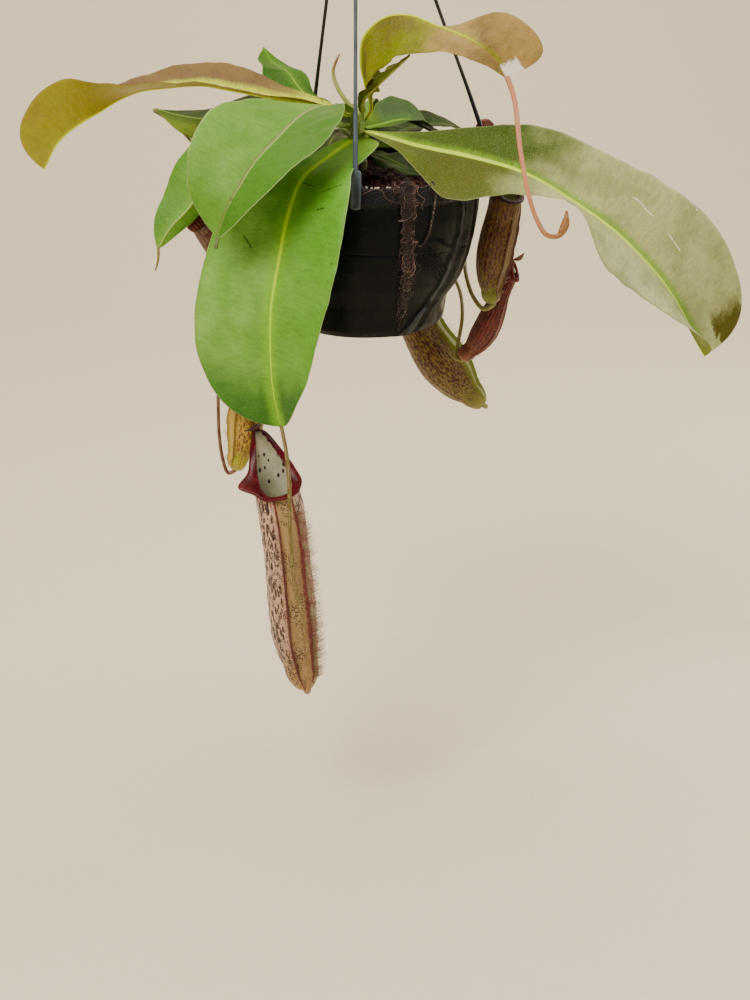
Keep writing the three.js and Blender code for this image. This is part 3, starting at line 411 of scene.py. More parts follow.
# %% Freckles
freckles = net = Group("freckles", dict(Where=None, Per_metre=900.0, Size=0.25, Amount=0.5), ["Mask"])
cells = net.put("TexVoronoi", {"Vector": net.given["Where"], "Scale": net.given["Per metre"]})
patches = net.cloud(net.given["Where"], 60.0)
allowed = net.times(net.given["Size"], net.span(patches, 0.35, 0.65, 0.3, 1.2))
dots = net.span(net.minus(allowed, cells.outputs["Distance"]), 0.0, 0.12)
net.give(Mask=net.times(dots, net.given["Amount"]))

# %% Dust
dust = net = Group("dust", dict(Where=None, Amount=0.5), ["Mask"])
flat = net.split(net.put("NewGeometry", {}).outputs["Normal"])["Z"]
lying = net.span(flat, -0.3, 0.9, 0.25, 1.0)
grains = net.span(net.cloud(net.given["Where"], 900.0, 4.0, 0.7), 0.45, 0.75)
drifts = net.span(net.cloud(net.given["Where"], 45.0), 0.4, 0.7)
net.give(Mask=net.times(net.times(lying, net.times(grains, drifts)), net.given["Amount"]))
print("shared groups:", [group.name for group in bpy.data.node_groups])

# %% [markdown]
# ## Floor, light and air
#
# The plant hangs, so the floor lies clear below it, and sweeps up behind it as one sheet of pale paper:
# no edge of it shows behind the leaves. The photograph is lit softly from high on the left, with enough
# light from the right for the black pot's edge to show. Four soft lamps and a pale sky do that.

# %% Sweep of paper
FLOOR_LEVEL, BEND_STARTS, BEND_RADIUS = -0.72, 1.2, 1.0
bend = np.linspace(0, np.pi / 2, 40)
depth = np.concatenate([[-3.0], BEND_STARTS + np.sin(bend), [BEND_STARTS + BEND_RADIUS]])
height = np.concatenate([[FLOOR_LEVEL], FLOOR_LEVEL + BEND_RADIUS - np.cos(bend), [4.0]])
across = np.linspace(-4, 4, 9)
sheet = stacked(across[None], depth[:, None], height[:, None])
mesh = bpy.data.meshes.new("paper_sweep")
i, j = np.arange(len(depth) - 1)[:, None] * 9, np.arange(8)[None]
squares = np.stack([i + j, i + j + 1, i + j + 10, i + j + 9], -1).reshape(-1, 4)
mesh.from_pydata(sheet.reshape(-1, 3).tolist(), [], squares.tolist())
mesh.polygons.foreach_set("use_smooth", np.ones(len(squares), bool))
paper = net = Finish("pale_paper", Specular_IOR_Level=0.2)
grain = net.cloud(net.where(), 180.0, 4.0)
net.feed(Base_Color=net.mixed(grain, "efe2c4", "f4ead0"))
net.feed(Roughness=net.span(grain, 0.2, 0.8, 0.85, 0.95))
mesh.materials.append(paper.material)
floor = bpy.data.objects.new("paper_sweep", mesh)
bpy.context.scene.collection.objects.link(floor)
floor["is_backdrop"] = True
print("paper rises to", float(height.max()), "m")

# %% Lamps and sky
LAMPS = {
    "key": ((-0.8, -1.3, 1.2), (0.0, 0.0, -0.33), 1.0, 52, "fff6ea"),
    "fill": ((1.7, -1.2, -0.1), (0.0, 0.0, -0.33), 1.4, 9, "fffaf2"),
    "edge": ((1.1, 0.5, 0.3), (0.1, 0.0, -0.33), 0.6, 9, "ffffff"),
    "backdrop": ((0.0, 0.5, 1.7), (0.0, 2.0, -0.4), 2.0, 46, "fff4e0"),
}
for name, (place, aim, size, watts, colour) in LAMPS.items():
    lamp = bpy.data.lights.new(name, "AREA")
    lamp.size = size
    lamp.energy = watts
    lamp.color = tint(colour)[:3]
    lit = bpy.data.objects.new(name, lamp)
    lit.location = place
    lit.rotation_euler = (Vector(aim) - Vector(place)).to_track_quat("-Z", "Y").to_euler()
    bpy.context.scene.collection.objects.link(lit)
sky = bpy.data.worlds.new("sky")
bpy.context.scene.world = sky
sky.use_nodes = True
sky.node_tree.nodes["Background"].inputs["Color"].default_value = tint("f4efe6")
sky.node_tree.nodes["Background"].inputs["Strength"].default_value = 0.2
print("lamps:", list(LAMPS))

# %% [markdown]
# ## The pot
#
# A nursery pot is blown or pressed from thin black plastic: a thick rim band, a soft wall that leans and
# dents under its own load, and creases where it has been squeezed. It is turned from a profile, as the
# solid is, but with rounded corners, and the creases are pushed into the wall with ridges and folds
# written as functions of the azimuth and the height.

# %% The pot's wall
POT_PROFILE = np.array([
    [48.5, -100], [51, -96], [53, -88], [56, -78], [60.5, -67], [64, -54], [66, -41], [67.8, -24],
    [68.3, -11.7], [70, -10.5], [70, 0],
], float)
POT_WALL = 1.6


def pot_radius(z):
    """Outside radius at a height: the profile read straight between its points, then averaged over
    a millimetre so that its corners are round."""
    near = np.asarray(z)[..., None] + np.linspace(-0.9, 0.9, 7)
    return np.interp(near, POT_PROFILE[:, 1], POT_PROFILE[:, 0]).mean(-1)


def pot_lean(z):
    """How far the soft base is pushed to the left."""
    return 6 * np.clip(-np.asarray(z) / 100, 0, 1) ** 1.5


def fold(azimuth, z, path, wide):
    """A creased ridge along a path of (azimuth, height) points: 1 on the path, 0 at `wide` degrees from
    it, with straight sides, kinked by two sines, and fading out past the path's ends."""
    path = np.array(path, float)
    there = np.interp(z, path[:, 1], path[:, 0]) + 0.9 * np.sin(z * 0.19 + 1) + 0.35 * np.sin(z * 0.53)
    fades = smooth(path[0, 1] - 4, path[0, 1], z) * (1 - smooth(path[-1, 1], path[-1, 1] + 4, z))
    return np.maximum(1 - np.abs(azimuth - there) / wide, 0) * fades


MAIN_CREASE = [(30, -99), (37, -88), (43, -79), (44, -72), (48, -60), (53, -44), (54, -16)]


def creases(azimuth, z):
    """How far the wall stands out at each place, in millimetres, where the plastic was squeezed."""
    edge, lee = fold(azimuth, z, MAIN_CREASE, 3.6), fold(azimuth - 8, z, MAIN_CREASE, 6)
    low = fold(azimuth, z, [(24, -99), (33, -90), (43, -80)], 5)
    up = np.exp(-(((z + 34.4 + 0.6 * (azimuth - 33)) / 1.8) ** 2))
    up = up * smooth(30, 34, azimuth) * (1 - smooth(49, 53, azimuth))
    run = ((azimuth - 28) * 1.1 - (z + 41)) / 1.5
    across = ((azimuth - 28) * 1.1 + (z + 41)) / 1.5
    panel = smooth(-2, 3, run) * (1 - smooth(22, 27, run))
    panel = panel * smooth(-6, -3, across) * (1 - smooth(4, 7, across))
    step = np.exp(-(((z + 42 + 0.04 * azimuth) / 0.7) ** 2)) * np.exp(-((azimuth / 60) ** 2))
    wrinkles = 0.7 * panel * np.sin(across * 2.4)
    return 1.7 * edge - 1.8 * lee + 1.4 * low + 1.2 * up + 1.6 * wrinkles - 0.45 * step


def pot_dent(azimuth, z):
    """How far the wall is pushed in, low on the right."""
    side = 4 * np.exp(-(((azimuth - 80) / 16) ** 2) - ((z + 83) / 8) ** 2)
    return side + 2.5 * np.exp(-(((azimuth - 48) / 9) ** 2) - ((z + 92) / 12) ** 2)


def soften(azimuth, radius, z):
    """A place on the pot's own round, dented and leaned: the radius is scaled by the dent."""
    short = radius * (1 - pot_dent(azimuth, z) / 70)
    angle = np.radians(azimuth)
    return stacked(short * np.sin(angle) - pot_lean(z), -short * np.cos(angle), z)


def on_pot(azimuth, z, off):
    """A place this far off the pot's outside."""
    azimuth, z, off = (np.asarray(v, float) for v in (azimuth, z, off))
    low = np.minimum(z, 0)
    dented = pot_radius(low) * (1 - pot_dent(azimuth, low) / 70) + off
    angle = np.radians(azimuth)
    return stacked(dented * np.sin(angle) - pot_lean(low), -dented * np.cos(angle), z)


def pot_surface(around):
    """The profile turned round the pot's axis: floor, outside, rounded rim, inside and inner floor.
    The inside is the outside moved in by the wall."""
    up = np.linspace(-99.4, -0.8, 190)
    lip = np.linspace(0, np.pi, 9)
    outside = [np.linspace(0.6, 47.6, 14), pot_radius(up), 69.2 + 0.8 * np.cos(lip)]
    heights = [np.full(14, -100.0), up, -0.8 + 0.8 * np.sin(lip)]
    down = up[::-1][::2]
    inside = [pot_radius(down) - POT_WALL, np.linspace(46, 0.6, 10)]
    radius = np.concatenate(outside + inside)
    z = np.concatenate(heights + [down + 1.0, np.full(10, -98.4)])
    azimuth = np.linspace(-180, 180, around, endpoint=False)
    azimuth, z, radius = azimuth[None], z[:, None], radius[:, None]
    pushed = creases(azimuth, z) * smooth(0.9, 4, -z) * smooth(40, 50, radius)
    sag = 0.35 * ripple(soften(azimuth, radius, z), 46, 5) * smooth(12, 30, -z)
    return soften(azimuth, radius + pushed + sag, z), np.maximum(pushed, 0)


# %% Black plastic
plastic = net = Finish("black_plastic", Specular_IOR_Level=0.12)
where = net.where()
scuffs = net.span(net.cloud(net.stretched(where, 1.0, 1.0, 0.35), 260.0, 5.0, 0.65), 0.56, 0.72)
grime = net.use(dust, dict(Where=where, Amount=0.1))["Mask"]
black = net.mixed(scuffs, "030508", "0a0e13")
# Painted highlight: a pale grey laid along the crease ridges and broken up by a cloud, where the lamps would
# catch the folds.
creased = net.split(net.stored("crease"))["X"]
broken = net.span(net.cloud(where, 60.0, 3.0, 0.6), 0.36, 0.6, 0.04, 0.6)
painted_crease_highlight = net.times(net.span(creased, 0.95, 1.6), broken)
black = net.mixed(painted_crease_highlight, black, "54595f")
on_band = net.span(net.split(where)["Z"], -0.2875, -0.2855, 0.0, 0.6)
dusty = net.times(on_band, net.span(scuffs, 0.0, 1.0, 0.5, 1.0))
black = net.mixed(dusty, black, "303338")
net.feed(Base_Color=net.mixed(grime, black, "6b655e"))
worn = net.span(net.cloud(where, 70.0, 4.0), 0.3, 0.7, 0.24, 0.46)
net.feed(Roughness=net.plus(worn, net.times(scuffs, 0.18)))
pressed = net.plus(net.cloud(where, 420.0, 3.0), net.times(scuffs, 0.4))
net.bumped(pressed, 0.00018)

wall, pushed = pot_surface(300)
# The ridge heights are stored as "crease", where the finish paints its highlight.
crease = pushed[..., None] * [1.0, 0, 0]
pot = add_piece("pot_wall", wall, plastic, "pot_plastic", "pot", crease=crease)
print("pot:", len(pot.data.polygons), "faces")

# %% [markdown]
# ## The mix in the pot
#
# The pot is filled with coarse coconut fibre: dark, reddish, springy, with paler threads and a few white
# mineral grains. A bumpy surface alone looks like soil, so hundreds of bent fibres lie on it. Each is
# a thin rod of a few faces, and all of them are worked out at once: an array of starts, headings and
# curls gives an array of paths.

# %% The mounded surface
STEM_FOOT = np.array([-11.0, 0.0])
MIX_LEVEL, MOUND_HEIGHT, MOUND_WIDTH, MIX_REACH = -9, 7, 34, 65.5


def mix_height(x, y):
    """A mound with lumps: level + height * exp(-(r / width)^2), two sine lumps and fine ripples."""
    lump = 0.8 * np.sin(x * 0.31 + 1) * np.sin(y * 0.27) + 0.6 * np.sin(x * 0.6 - y * 0.5)
    rough = np.stack([x, y, 0 * x], -1)
    fine = 0.9 * ripple(rough, 6, 11) + 0.5 * ripple(rough, 2.6, 12)
    return MIX_LEVEL + MOUND_HEIGHT * np.exp(-(x * x + y * y) / MOUND_WIDTH**2) + lump + fine


azimuth = np.linspace(-180, 180, 180, endpoint=False)[None]
climb = np.linspace(-60, -11, 16)
radius = np.concatenate([np.linspace(1, 60, 8), pot_radius(climb) - 2.5, np.linspace(65, 1, 70)])[:, None]
level = np.concatenate([np.full(8, -60.0), climb, np.full(70, MIX_LEVEL)])[:, None]
body = soften(azimuth, radius, level)
body[24:, :, 2] = mix_height(body[24:, :, 0], body[24:, :, 1])

coir = net = Finish("coconut_fibre", Specular_IOR_Level=0.3, Sheen_Weight=0.2)
where = net.where()
tangle = net.cloud(where, 420.0, 6.0, 0.7)
soil = net.mixed(net.span(tangle, 0.35, 0.7), "140b09", "40241c")
net.feed(Base_Color=soil, Roughness=net.span(tangle, 0.2, 0.8, 0.98, 0.75))
net.bumped(tangle, 0.0012)
add_piece("mix_surface", body, coir, "potting_mix", "potting_mix")
print("mix stands", round(float(body[24:, :, 2].max()), 1), "mm from the rim's height")

# %% Threads, chips and grains
chance = np.random.default_rng(21)


def strewn(count, reach):
    """Random places on the mix, evenly over a disc: the radius goes as the square root of chance."""
    far = reach * np.sqrt(chance.uniform(0, 1, count))
    turn = chance.uniform(0, 2 * np.pi, count)
    x, y = far * np.sin(turn), -far * np.cos(turn)
    return np.stack([x, y, mix_height(x, y)], -1)


def threads(starts, length, lift, steps=7):
    """Bent fibres from the starts: the heading turns at a constant rate, and the height rises and
    falls again as a sine along the fibre."""
    count = len(starts)
    t = np.linspace(0, 1, steps)[None]
    reach = length * chance.uniform(0.4, 1, (count, 1))
    heading = chance.uniform(0, 2 * np.pi, (count, 1)) + chance.normal(0, 1.4, (count, 1)) * t
    step = np.stack([np.cos(heading), np.sin(heading), 0 * heading], -1) * reach[..., None] / (steps - 1)
    path = starts[:, None] + np.cumsum(step, axis=1) - step[:, :1]
    path[..., 2] += lift * chance.uniform(-0.3, 1, (count, 1)) * np.sin(np.pi * t) + 0.3
    away = np.linalg.norm(path[..., :2], axis=-1, keepdims=True)
    path[..., :2] *= np.minimum(MIX_REACH / np.maximum(away, 1), 1)
    return path


thread = net = Finish("loose_threads", Specular_IOR_Level=0.35, Roughness=0.8)
shade = net.stored("shade", "Fac")
where = net.where()
dark = net.mixed(net.span(shade, 0.0, 0.6), "22110e", "70382c")
pale = net.mixed(net.span(shade, 0.72, 1.0), dark, "a48678")
soiled = net.span(net.cloud(where, 700.0), 0.45, 0.75)
net.feed(Base_Color=net.mixed(soiled, pale, "2a1612"))
net.bumped(net.cloud(where, 2500.0), 0.0002)

heaped = strewn(1500, 60)
heaped = heaped[(heaped[:, 1] < -26) & (np.abs(heaped[:, 0] - 14) < 26)] + [0, 0, 2.2]
paths = np.concatenate([threads(strewn(900, 64), 22, 4.5), threads(heaped, 15, 6.5)])
count, chip_count, grain_count, spilt_count = len(paths), 150, 46, 16
form = hairs(paths, chance.uniform(0.14, 0.34, (count, 1)) * np.linspace(1, 0.5, 7))
add_piece("mix_threads", form, thread, "potting_mix", shade=chance.uniform(0, 1, count) ** 1.2)


def pebbles(places, reach):
    """A short path through each place, as far as `reach` either way, in a random direction."""
    heading = unit(chance.normal(size=(len(places), 1, 3)))
    return places[:, None] + heading * np.linspace(-reach, reach, 4)[:, None]


chips = pebbles(strewn(chip_count, 62), 2.2)
form = hairs(chips, chance.uniform(0.5, 1.3, (chip_count, 1)) * np.array([0.5, 1, 0.9, 0.4]), 5)
add_piece("mix_chips", form, thread, "potting_mix", shade=chance.uniform(0, 0.5, chip_count))

grain = net = Finish("white_grains", Roughness=0.85)
where = net.where()
pits = net.cloud(where, 1500.0)
net.feed(Base_Color=net.mixed(pits, "8f857a", "e4ded2"))
net.bumped(pits, 0.0004)
grains = pebbles(strewn(grain_count, 62), 0.9) + [0, 0, 0.6]
spilt = on_pot(*(chance.uniform(*ends, spilt_count) for ends in ((-7, 12), (-3, 0.4), (-7, -2.6))))
grains = np.concatenate([grains, pebbles(spilt, 0.8)])
form = hairs(grains, chance.uniform(0.5, 1, (len(grains), 1)) * np.array([0.5, 1, 1, 0.5]), 6)
add_piece("mix_grains", form, grain, "potting_mix")
print("threads:", len(paths))

# %% [markdown]
# ## Roots over the rim
#
# A hank of brown roots has grown over the rim and hangs down the front, matted and hairy, and thinner
# ones wander beside it. The three strands of the solid carry the weight of it, and seventy fine rootlets
# follow them down the wall with a sway of their own, with short curls between them.

# %% Hank of roots
def wall_paths(azimuth, top, foot, sway, off, steps=16):
    """Paths down the pot's outside: the height falls evenly, the azimuth sways by two sines, and the
    distance off the wall breathes in and out. Each argument is one value per path."""
    t = np.linspace(0, 1, steps)[None]
    count = len(azimuth)
    start = chance.uniform(0, 6.28, (count, 2))
    z = top[:, None] + (foot - top)[:, None] * t
    turn = np.sin(z * 0.14 + start[:, :1]) + 0.5 * np.sin(z * 0.41 + start[:, 1:])
    wander = azimuth[:, None] + sway[:, None] * turn * t**0.5 + (-z - 5) * 0.075
    return on_pot(wander, z, off[:, None] * (0.7 + 0.5 * np.sin(z * 0.3 + start[:, :1])) + 0.5)


def gnarled(ring, rise, size, seed):
    """A ring pushed out from its middle by a ripple."""
    return ring + rise * ripple(ring, size, seed)[..., None] * unit(ring - ring.mean(1, keepdims=True))


ROOT_STRANDS = [(14.6, 1.1, 0, -64, 2.0), (16.3, 1.7, 2, -84, 1.8), (17.8, 1.0, 4, -50, 1.6)]
strands = []
for azimuth, sway, phase, end, size in ROOT_STRANDS:
    clear = size + 0.9
    down = np.arange(-14, end, -10.0)
    points = np.vstack([
        on_pot([azimuth - 2, azimuth - 1, azimuth, azimuth], [-4.5, 0, clear + 0.6, -2],
               [-1.6 - clear - 6, -1.6 - clear - 0.6, -0.8, clear]),
        on_pot(azimuth + sway * np.sin(down * 0.14 + phase) + (-down - 14) * 0.09, down, clear + 0.3),
        on_pot([azimuth + 2], [end], clear + 0.2),
    ])
    ring = rod(points, np.array([0.3, 0.3, 0.36, 0.24, 0.12]) * size, 90, 10)[0]
    strands.append(gnarled(ring, 0.45, 3.5, int(azimuth)))
print("hank:", len(strands), "strands")

bark = net = Finish("root_bark", Roughness=0.85, Specular_IOR_Level=0.3, Sheen_Weight=0.25)
where = net.where()
shade = net.stored("shade", "Fac")
flakes = net.cloud(where, 520.0, 5.0, 0.7)
skin_tone = net.mixed(net.span(flakes, 0.3, 0.62), "0a0403", "2e1410")
lighter = net.mixed(net.span(shade, 0.84, 0.98), skin_tone, "b48c7c")
flecks = net.freckled(where, 800.0, 0.3, 0.8)
net.feed(Base_Color=net.mixed(flecks, lighter, "b89484"))
net.bumped(flakes, 0.0006)
add_piece("root_strands", gathered(strands), bark, "root", "root_hank", shade=[0.2])

# %% Rootlets
count = 70
heavy = chance.uniform(0, 1, count) ** 1.6
paths = wall_paths(
    chance.normal(16, 0.9, count), chance.uniform(-2, 4, count), -14 - 82 * heavy,
    chance.uniform(0.5, 3.0, count), chance.uniform(0.6, 4.2, count),
)
paths[:, 0] = on_pot(chance.normal(14, 3, count), chance.uniform(-3, 1, count), -4.0)
form = hairs(paths, chance.uniform(0.14, 0.36, (count, 1)) * np.linspace(1, 0.35, 16))
add_piece("root_hairs", form, bark, "root", shade=chance.uniform(0, 1, count))

t = np.linspace(0, 1, 9)[None]
many = 300
z = chance.choice([-3, -14, -34, -46, -62], (many, 1)) + chance.normal(0, 5.5, (many, 1))
start = chance.normal(16.2, 1.25, (many, 1)) + (-z - 5) * 0.075
bend, reach = chance.uniform(3, 9, (many, 1)), chance.uniform(0.8, 3.6, (many, 1))
around = start + reach * np.sin(bend * t) * chance.choice([-1, 1], (many, 1))
fallen = z - chance.uniform(1, 10, (many, 1)) * t + 1.8 * np.cos(bend * t)
curls = on_pot(around, fallen, 2.0 + chance.uniform(0, 2.4, (many, 1)) * np.sin(3 * t))
form = hairs(curls, chance.uniform(0.09, 0.22, (many, 1)) * np.linspace(1, 0.4, 9))
add_piece("root_fuzz", form, bark, "root", shade=chance.uniform(0.1, 1, many))

# %% Thin root and wisps on the rim
points = on_pot([29, 30, 30.5, 31, 31, 29, 25.5, 23], [-4, 0.6, 2.2, -2, -19, -32, -37, -35],
                [-6.6, -3.4, -0.8, 1.9, 1.8, 1.8, 1.8, 2])
ring = gnarled(rod(points, [0.75, 0.6, 0.5, 0.3], 90, 8)[0], 0.18, 2.5, 4)
add_piece("root_single", ring, bark, "root", "root_thin", shade=[0.75])

few = 46
start = chance.uniform(-6, 40, few)[:, None]
z = 0.8 - 3.4 * t * chance.uniform(0, 4.5, (few, 1)) + 0.8 * np.sin(7 * t + start)
wisps = on_pot(start + chance.normal(0, 9, (few, 1)) * t + 1.2 * np.sin(9 * t + start), z, 0.7)
form = hairs(wisps, chance.uniform(0.07, 0.15, (few, 1)) * np.linspace(1, 0.5, 9))
add_piece("root_wisps", form, bark, "root", shade=chance.uniform(0.6, 1, few))
print("rootlets:", count + many, "wisps:", few)

# %% [markdown]
# ## The hanger
#
# Three moulded strands end in clips that hook over the pot's rim, and meet in a hub under a wire hook.
# The front one is grey and the other two are black, and all are a little thicker where they meet the
# clip. A clip is one section carried up its length: flat, with two raised rails, and round at the top.

# %% Strand, clip and hook shapes
CLIP = {"outside": 70.6, "width": 7.5, "height": 24, "depth": 3.2}
HUB = np.array([-10.7, 0.0, 231.0])


def squarish(around):
    """A rounded square as the power curve |x|^4 + |y|^4 = 1: its x and its y, in a row each."""
    angle = np.linspace(0, 2 * np.pi, around, endpoint=False)
    round_one = np.array([np.cos(angle), np.sin(angle)])[:, None]
    return np.sign(round_one) * np.abs(round_one) ** 0.5


def clip_leg(azimuth):
    """The leg outside the pot: a rounded square whose front face sinks between two rails, carried up with
    a width that tapers down and rounds off at the top."""
    s = np.linspace(0, 1, 60)[:, None]
    x, y = squarish(48)
    height = CLIP["height"] * (s - 0.5)
    end = np.sqrt(np.clip(1 - ((s - 0.86) / 0.14).clip(0, 1) ** 2, 0, 1)) * smooth(-0.01, 0.03, s)
    half = CLIP["width"] / 2 * (0.86 + 0.14 * s) * (0.3 + 0.7 * end)
    sunk = 0.55 * smooth(-0.62, -0.45, -np.abs(x)) * smooth(0.06, 0.12, s) * (1 - smooth(0.78, 0.84, s))
    out = CLIP["outside"] + CLIP["depth"] / 2 * (1 + y * (1 - 0.25 * (1 - end))) - sunk * (y > 0.5)
    return round_the_pot(azimuth, x * half, out, height + 0 * x)


def round_the_pot(azimuth, across, out, height):
    """Turns a place given across, outward and up at an azimuth into the part's frame."""
    turn = np.radians(azimuth)
    outward, sideways = np.array([np.sin(turn), -np.cos(turn), 0]), np.array([np.cos(turn), np.sin(turn), 0])
    place = out[..., None] * outward + across[..., None] * sideways
    return place + height[..., None] * np.array([0, 0, 1.0])


def clip_bridge(azimuth):
    """The bridge over the rim and the short leg inside, as a rounded section carried along a bent line."""
    path = [[71.8, 3.2], [69.5, 2.0], [67.3, 1.1], [66.5, -1.5], [66.6, -4.8]]
    line, along = spline([[p[0], 0, p[1]] for p in path], np.linspace(0, 1, 24))
    x, y = squarish(24) * np.array([[[3.5]], [[0.85]]])
    normal = np.stack([along[:, 2], -along[:, 0]], -1)
    out = line[:, :1] + y * normal[:, :1]
    return round_the_pot(azimuth, x + 0 * out, out, line[:, 2:] + y * normal[:, 1:])


def strand_line(azimuth, bow):
    """From the clip's middle, straight up for a little and then through the bow to the hub."""
    turn = np.radians(azimuth)
    outward = np.array([np.sin(turn), -np.cos(turn), 0])
    foot = outward * (CLIP["outside"] + CLIP["depth"] / 2)
    top = HUB + [0, 0, -4.4] + outward * 3.7
    return np.array([foot + [0, 0, 9], foot + [0, 0, 13], *bow, top])


# %% Moulded plastic
def moulded(name, body, worn_to, rough):
    """Satin moulded plastic: two close colours in soft clouds, dust on what lies flat, fine orange peel."""
    net = Finish(name, Specular_IOR_Level=0.5)
    where = net.where()
    tone = net.mixed(net.span(net.cloud(where, 60.0, 4.0), 0.35, 0.7), tint(body), tint(worn_to))
    film = net.use(dust, dict(Where=where, Amount=0.3))["Mask"]
    net.feed(Base_Color=net.mixed(film, tone, "8b857c"))
    net.feed(Roughness=net.span(net.cloud(where, 110.0), 0.3, 0.7, rough - 0.08, rough + 0.12))
    net.bumped(net.cloud(where, 1300.0), 0.00008)
    return net


grey_plastic = moulded("grey_plastic", "36424a", "4c5a64", 0.4)
dark_plastic = moulded("dark_plastic", "101011", "242326", 0.36)
STRANDS = {
    "front": (-9.4, [], grey_plastic, "hanger_grey"),
    "left": (-144, [], dark_plastic, "hanger_black"),
    "right": (100, [[62, 18, 40], [38, 15, 102]], dark_plastic, "hanger_black"),
}
for name, (azimuth, bow, finish, slot) in STRANDS.items():
    ring = rod(strand_line(azimuth, bow), [1.7, 1.15, 1.2, 1.3, 1.35], 120, 14, even=True)[0]
    form = gathered([ring, clip_leg(azimuth), clip_bridge(azimuth)])
    add_piece("hanger_" + name, form, finish, slot, "hanger_strand_" + name)

# %% Hub and hook
turns = np.radians([180, 150, 120, 90, 60, 30, 0, -35])
crook = HUB + [0, 0, 36] + 11 * np.stack([np.cos(turns), 0 * turns, np.sin(turns)], -1)
wire = rod([HUB, HUB + [0, 0, 12], HUB + [-7.7, 0, 22], *crook], [2, 2, 2, 2, 1.95], 150, 20)[0]
z = np.concatenate([np.full(5, -3.5), np.linspace(-3.2, 3.2, 16), np.full(5, 3.5)])[:, None]
side = np.linspace(6, 5, 16) + 0.25 * np.cos(np.linspace(0, 25, 16))
r = np.concatenate([np.linspace(0.4, 5.7, 5), side, np.linspace(4.7, 0.4, 5)])[:, None]
angle = np.linspace(0, 2 * np.pi, 64, endpoint=False)
hub = HUB + stacked(r * np.cos(angle), r * np.sin(angle), z)
add_piece("hanger_top", gathered([wire, hub]), dark_plastic, "hanger_black", "hanger_hook")
print("hanger: 3 strands and a hook,", round(float(wire[..., 2].max() - HUB[2]), 1), "mm above the hub")

# %% [markdown]
# ## The stem
#
# A pitcher plant this age has a short stem, thick as a finger at the mix, ringed by the scars of old
# leaves and hidden by the bases of the new ones. A ring of points with small steps where the scars are
# is enough, with a green that browns downward.

# %% Stem
STEM_TOP = 37


def stem_radius(z):
    """6 mm at the mix, 3.6 mm at the top."""
    return 6 - 2.4 * np.clip(z / STEM_TOP, 0, 1)


z = np.linspace(-24, STEM_TOP, 150)[:, None]
angle = np.linspace(0, 2 * np.pi, 64, endpoint=False)[None]
radius = stem_radius(z) - 1.2 * smooth(STEM_TOP - 3, STEM_TOP, z)
radius = radius + 0.35 * np.abs(np.sin(z * 0.52 + 0.5 * np.sin(angle))) ** 6 + 0.12 * np.sin(9 * angle)
stem = stacked(STEM_FOOT[0] + radius * np.cos(angle), STEM_FOOT[1] + radius * np.sin(angle), z)
green_bark = net = Finish("stem_skin", Specular_IOR_Level=0.4)
where = net.where()
height = net.split(where)["Z"]
streaks = net.cloud(net.stretched(where, 1.0, 1.0, 0.2), 700.0, 4.0)
tone = net.mixed(net.span(streaks, 0.35, 0.7), "6c8a2c", "93a04a")
net.feed(Base_Color=net.mixed(net.span(height, -0.262, -0.285), tone, "5a4424"))
net.feed(Roughness=net.span(streaks, 0.2, 0.8, 0.45, 0.7))
net.bumped(streaks, 0.0004)
add_piece("stem_body", stem, green_bark, "stem", "stem")

# %% [markdown]
# ## Leaves
#
# A blade is a strip with a midrib down its middle: it starts narrow at the stem, widens, and ends in a
# rounded tip that runs on as a tendril. Its two halves lift, droop and wave by themselves. So a leaf is
# a function of two parameters, the share t along the midrib and the share a across, from -1 at the right
# edge to 1 at the left. The numbers are the ones the solid was made from, because the blade has to lie
# where the solid does; only the steps between them are finer, and the edge gets thin. Three leaves are up
# to 8 mm wider than their solids, where the photograph shows them so.

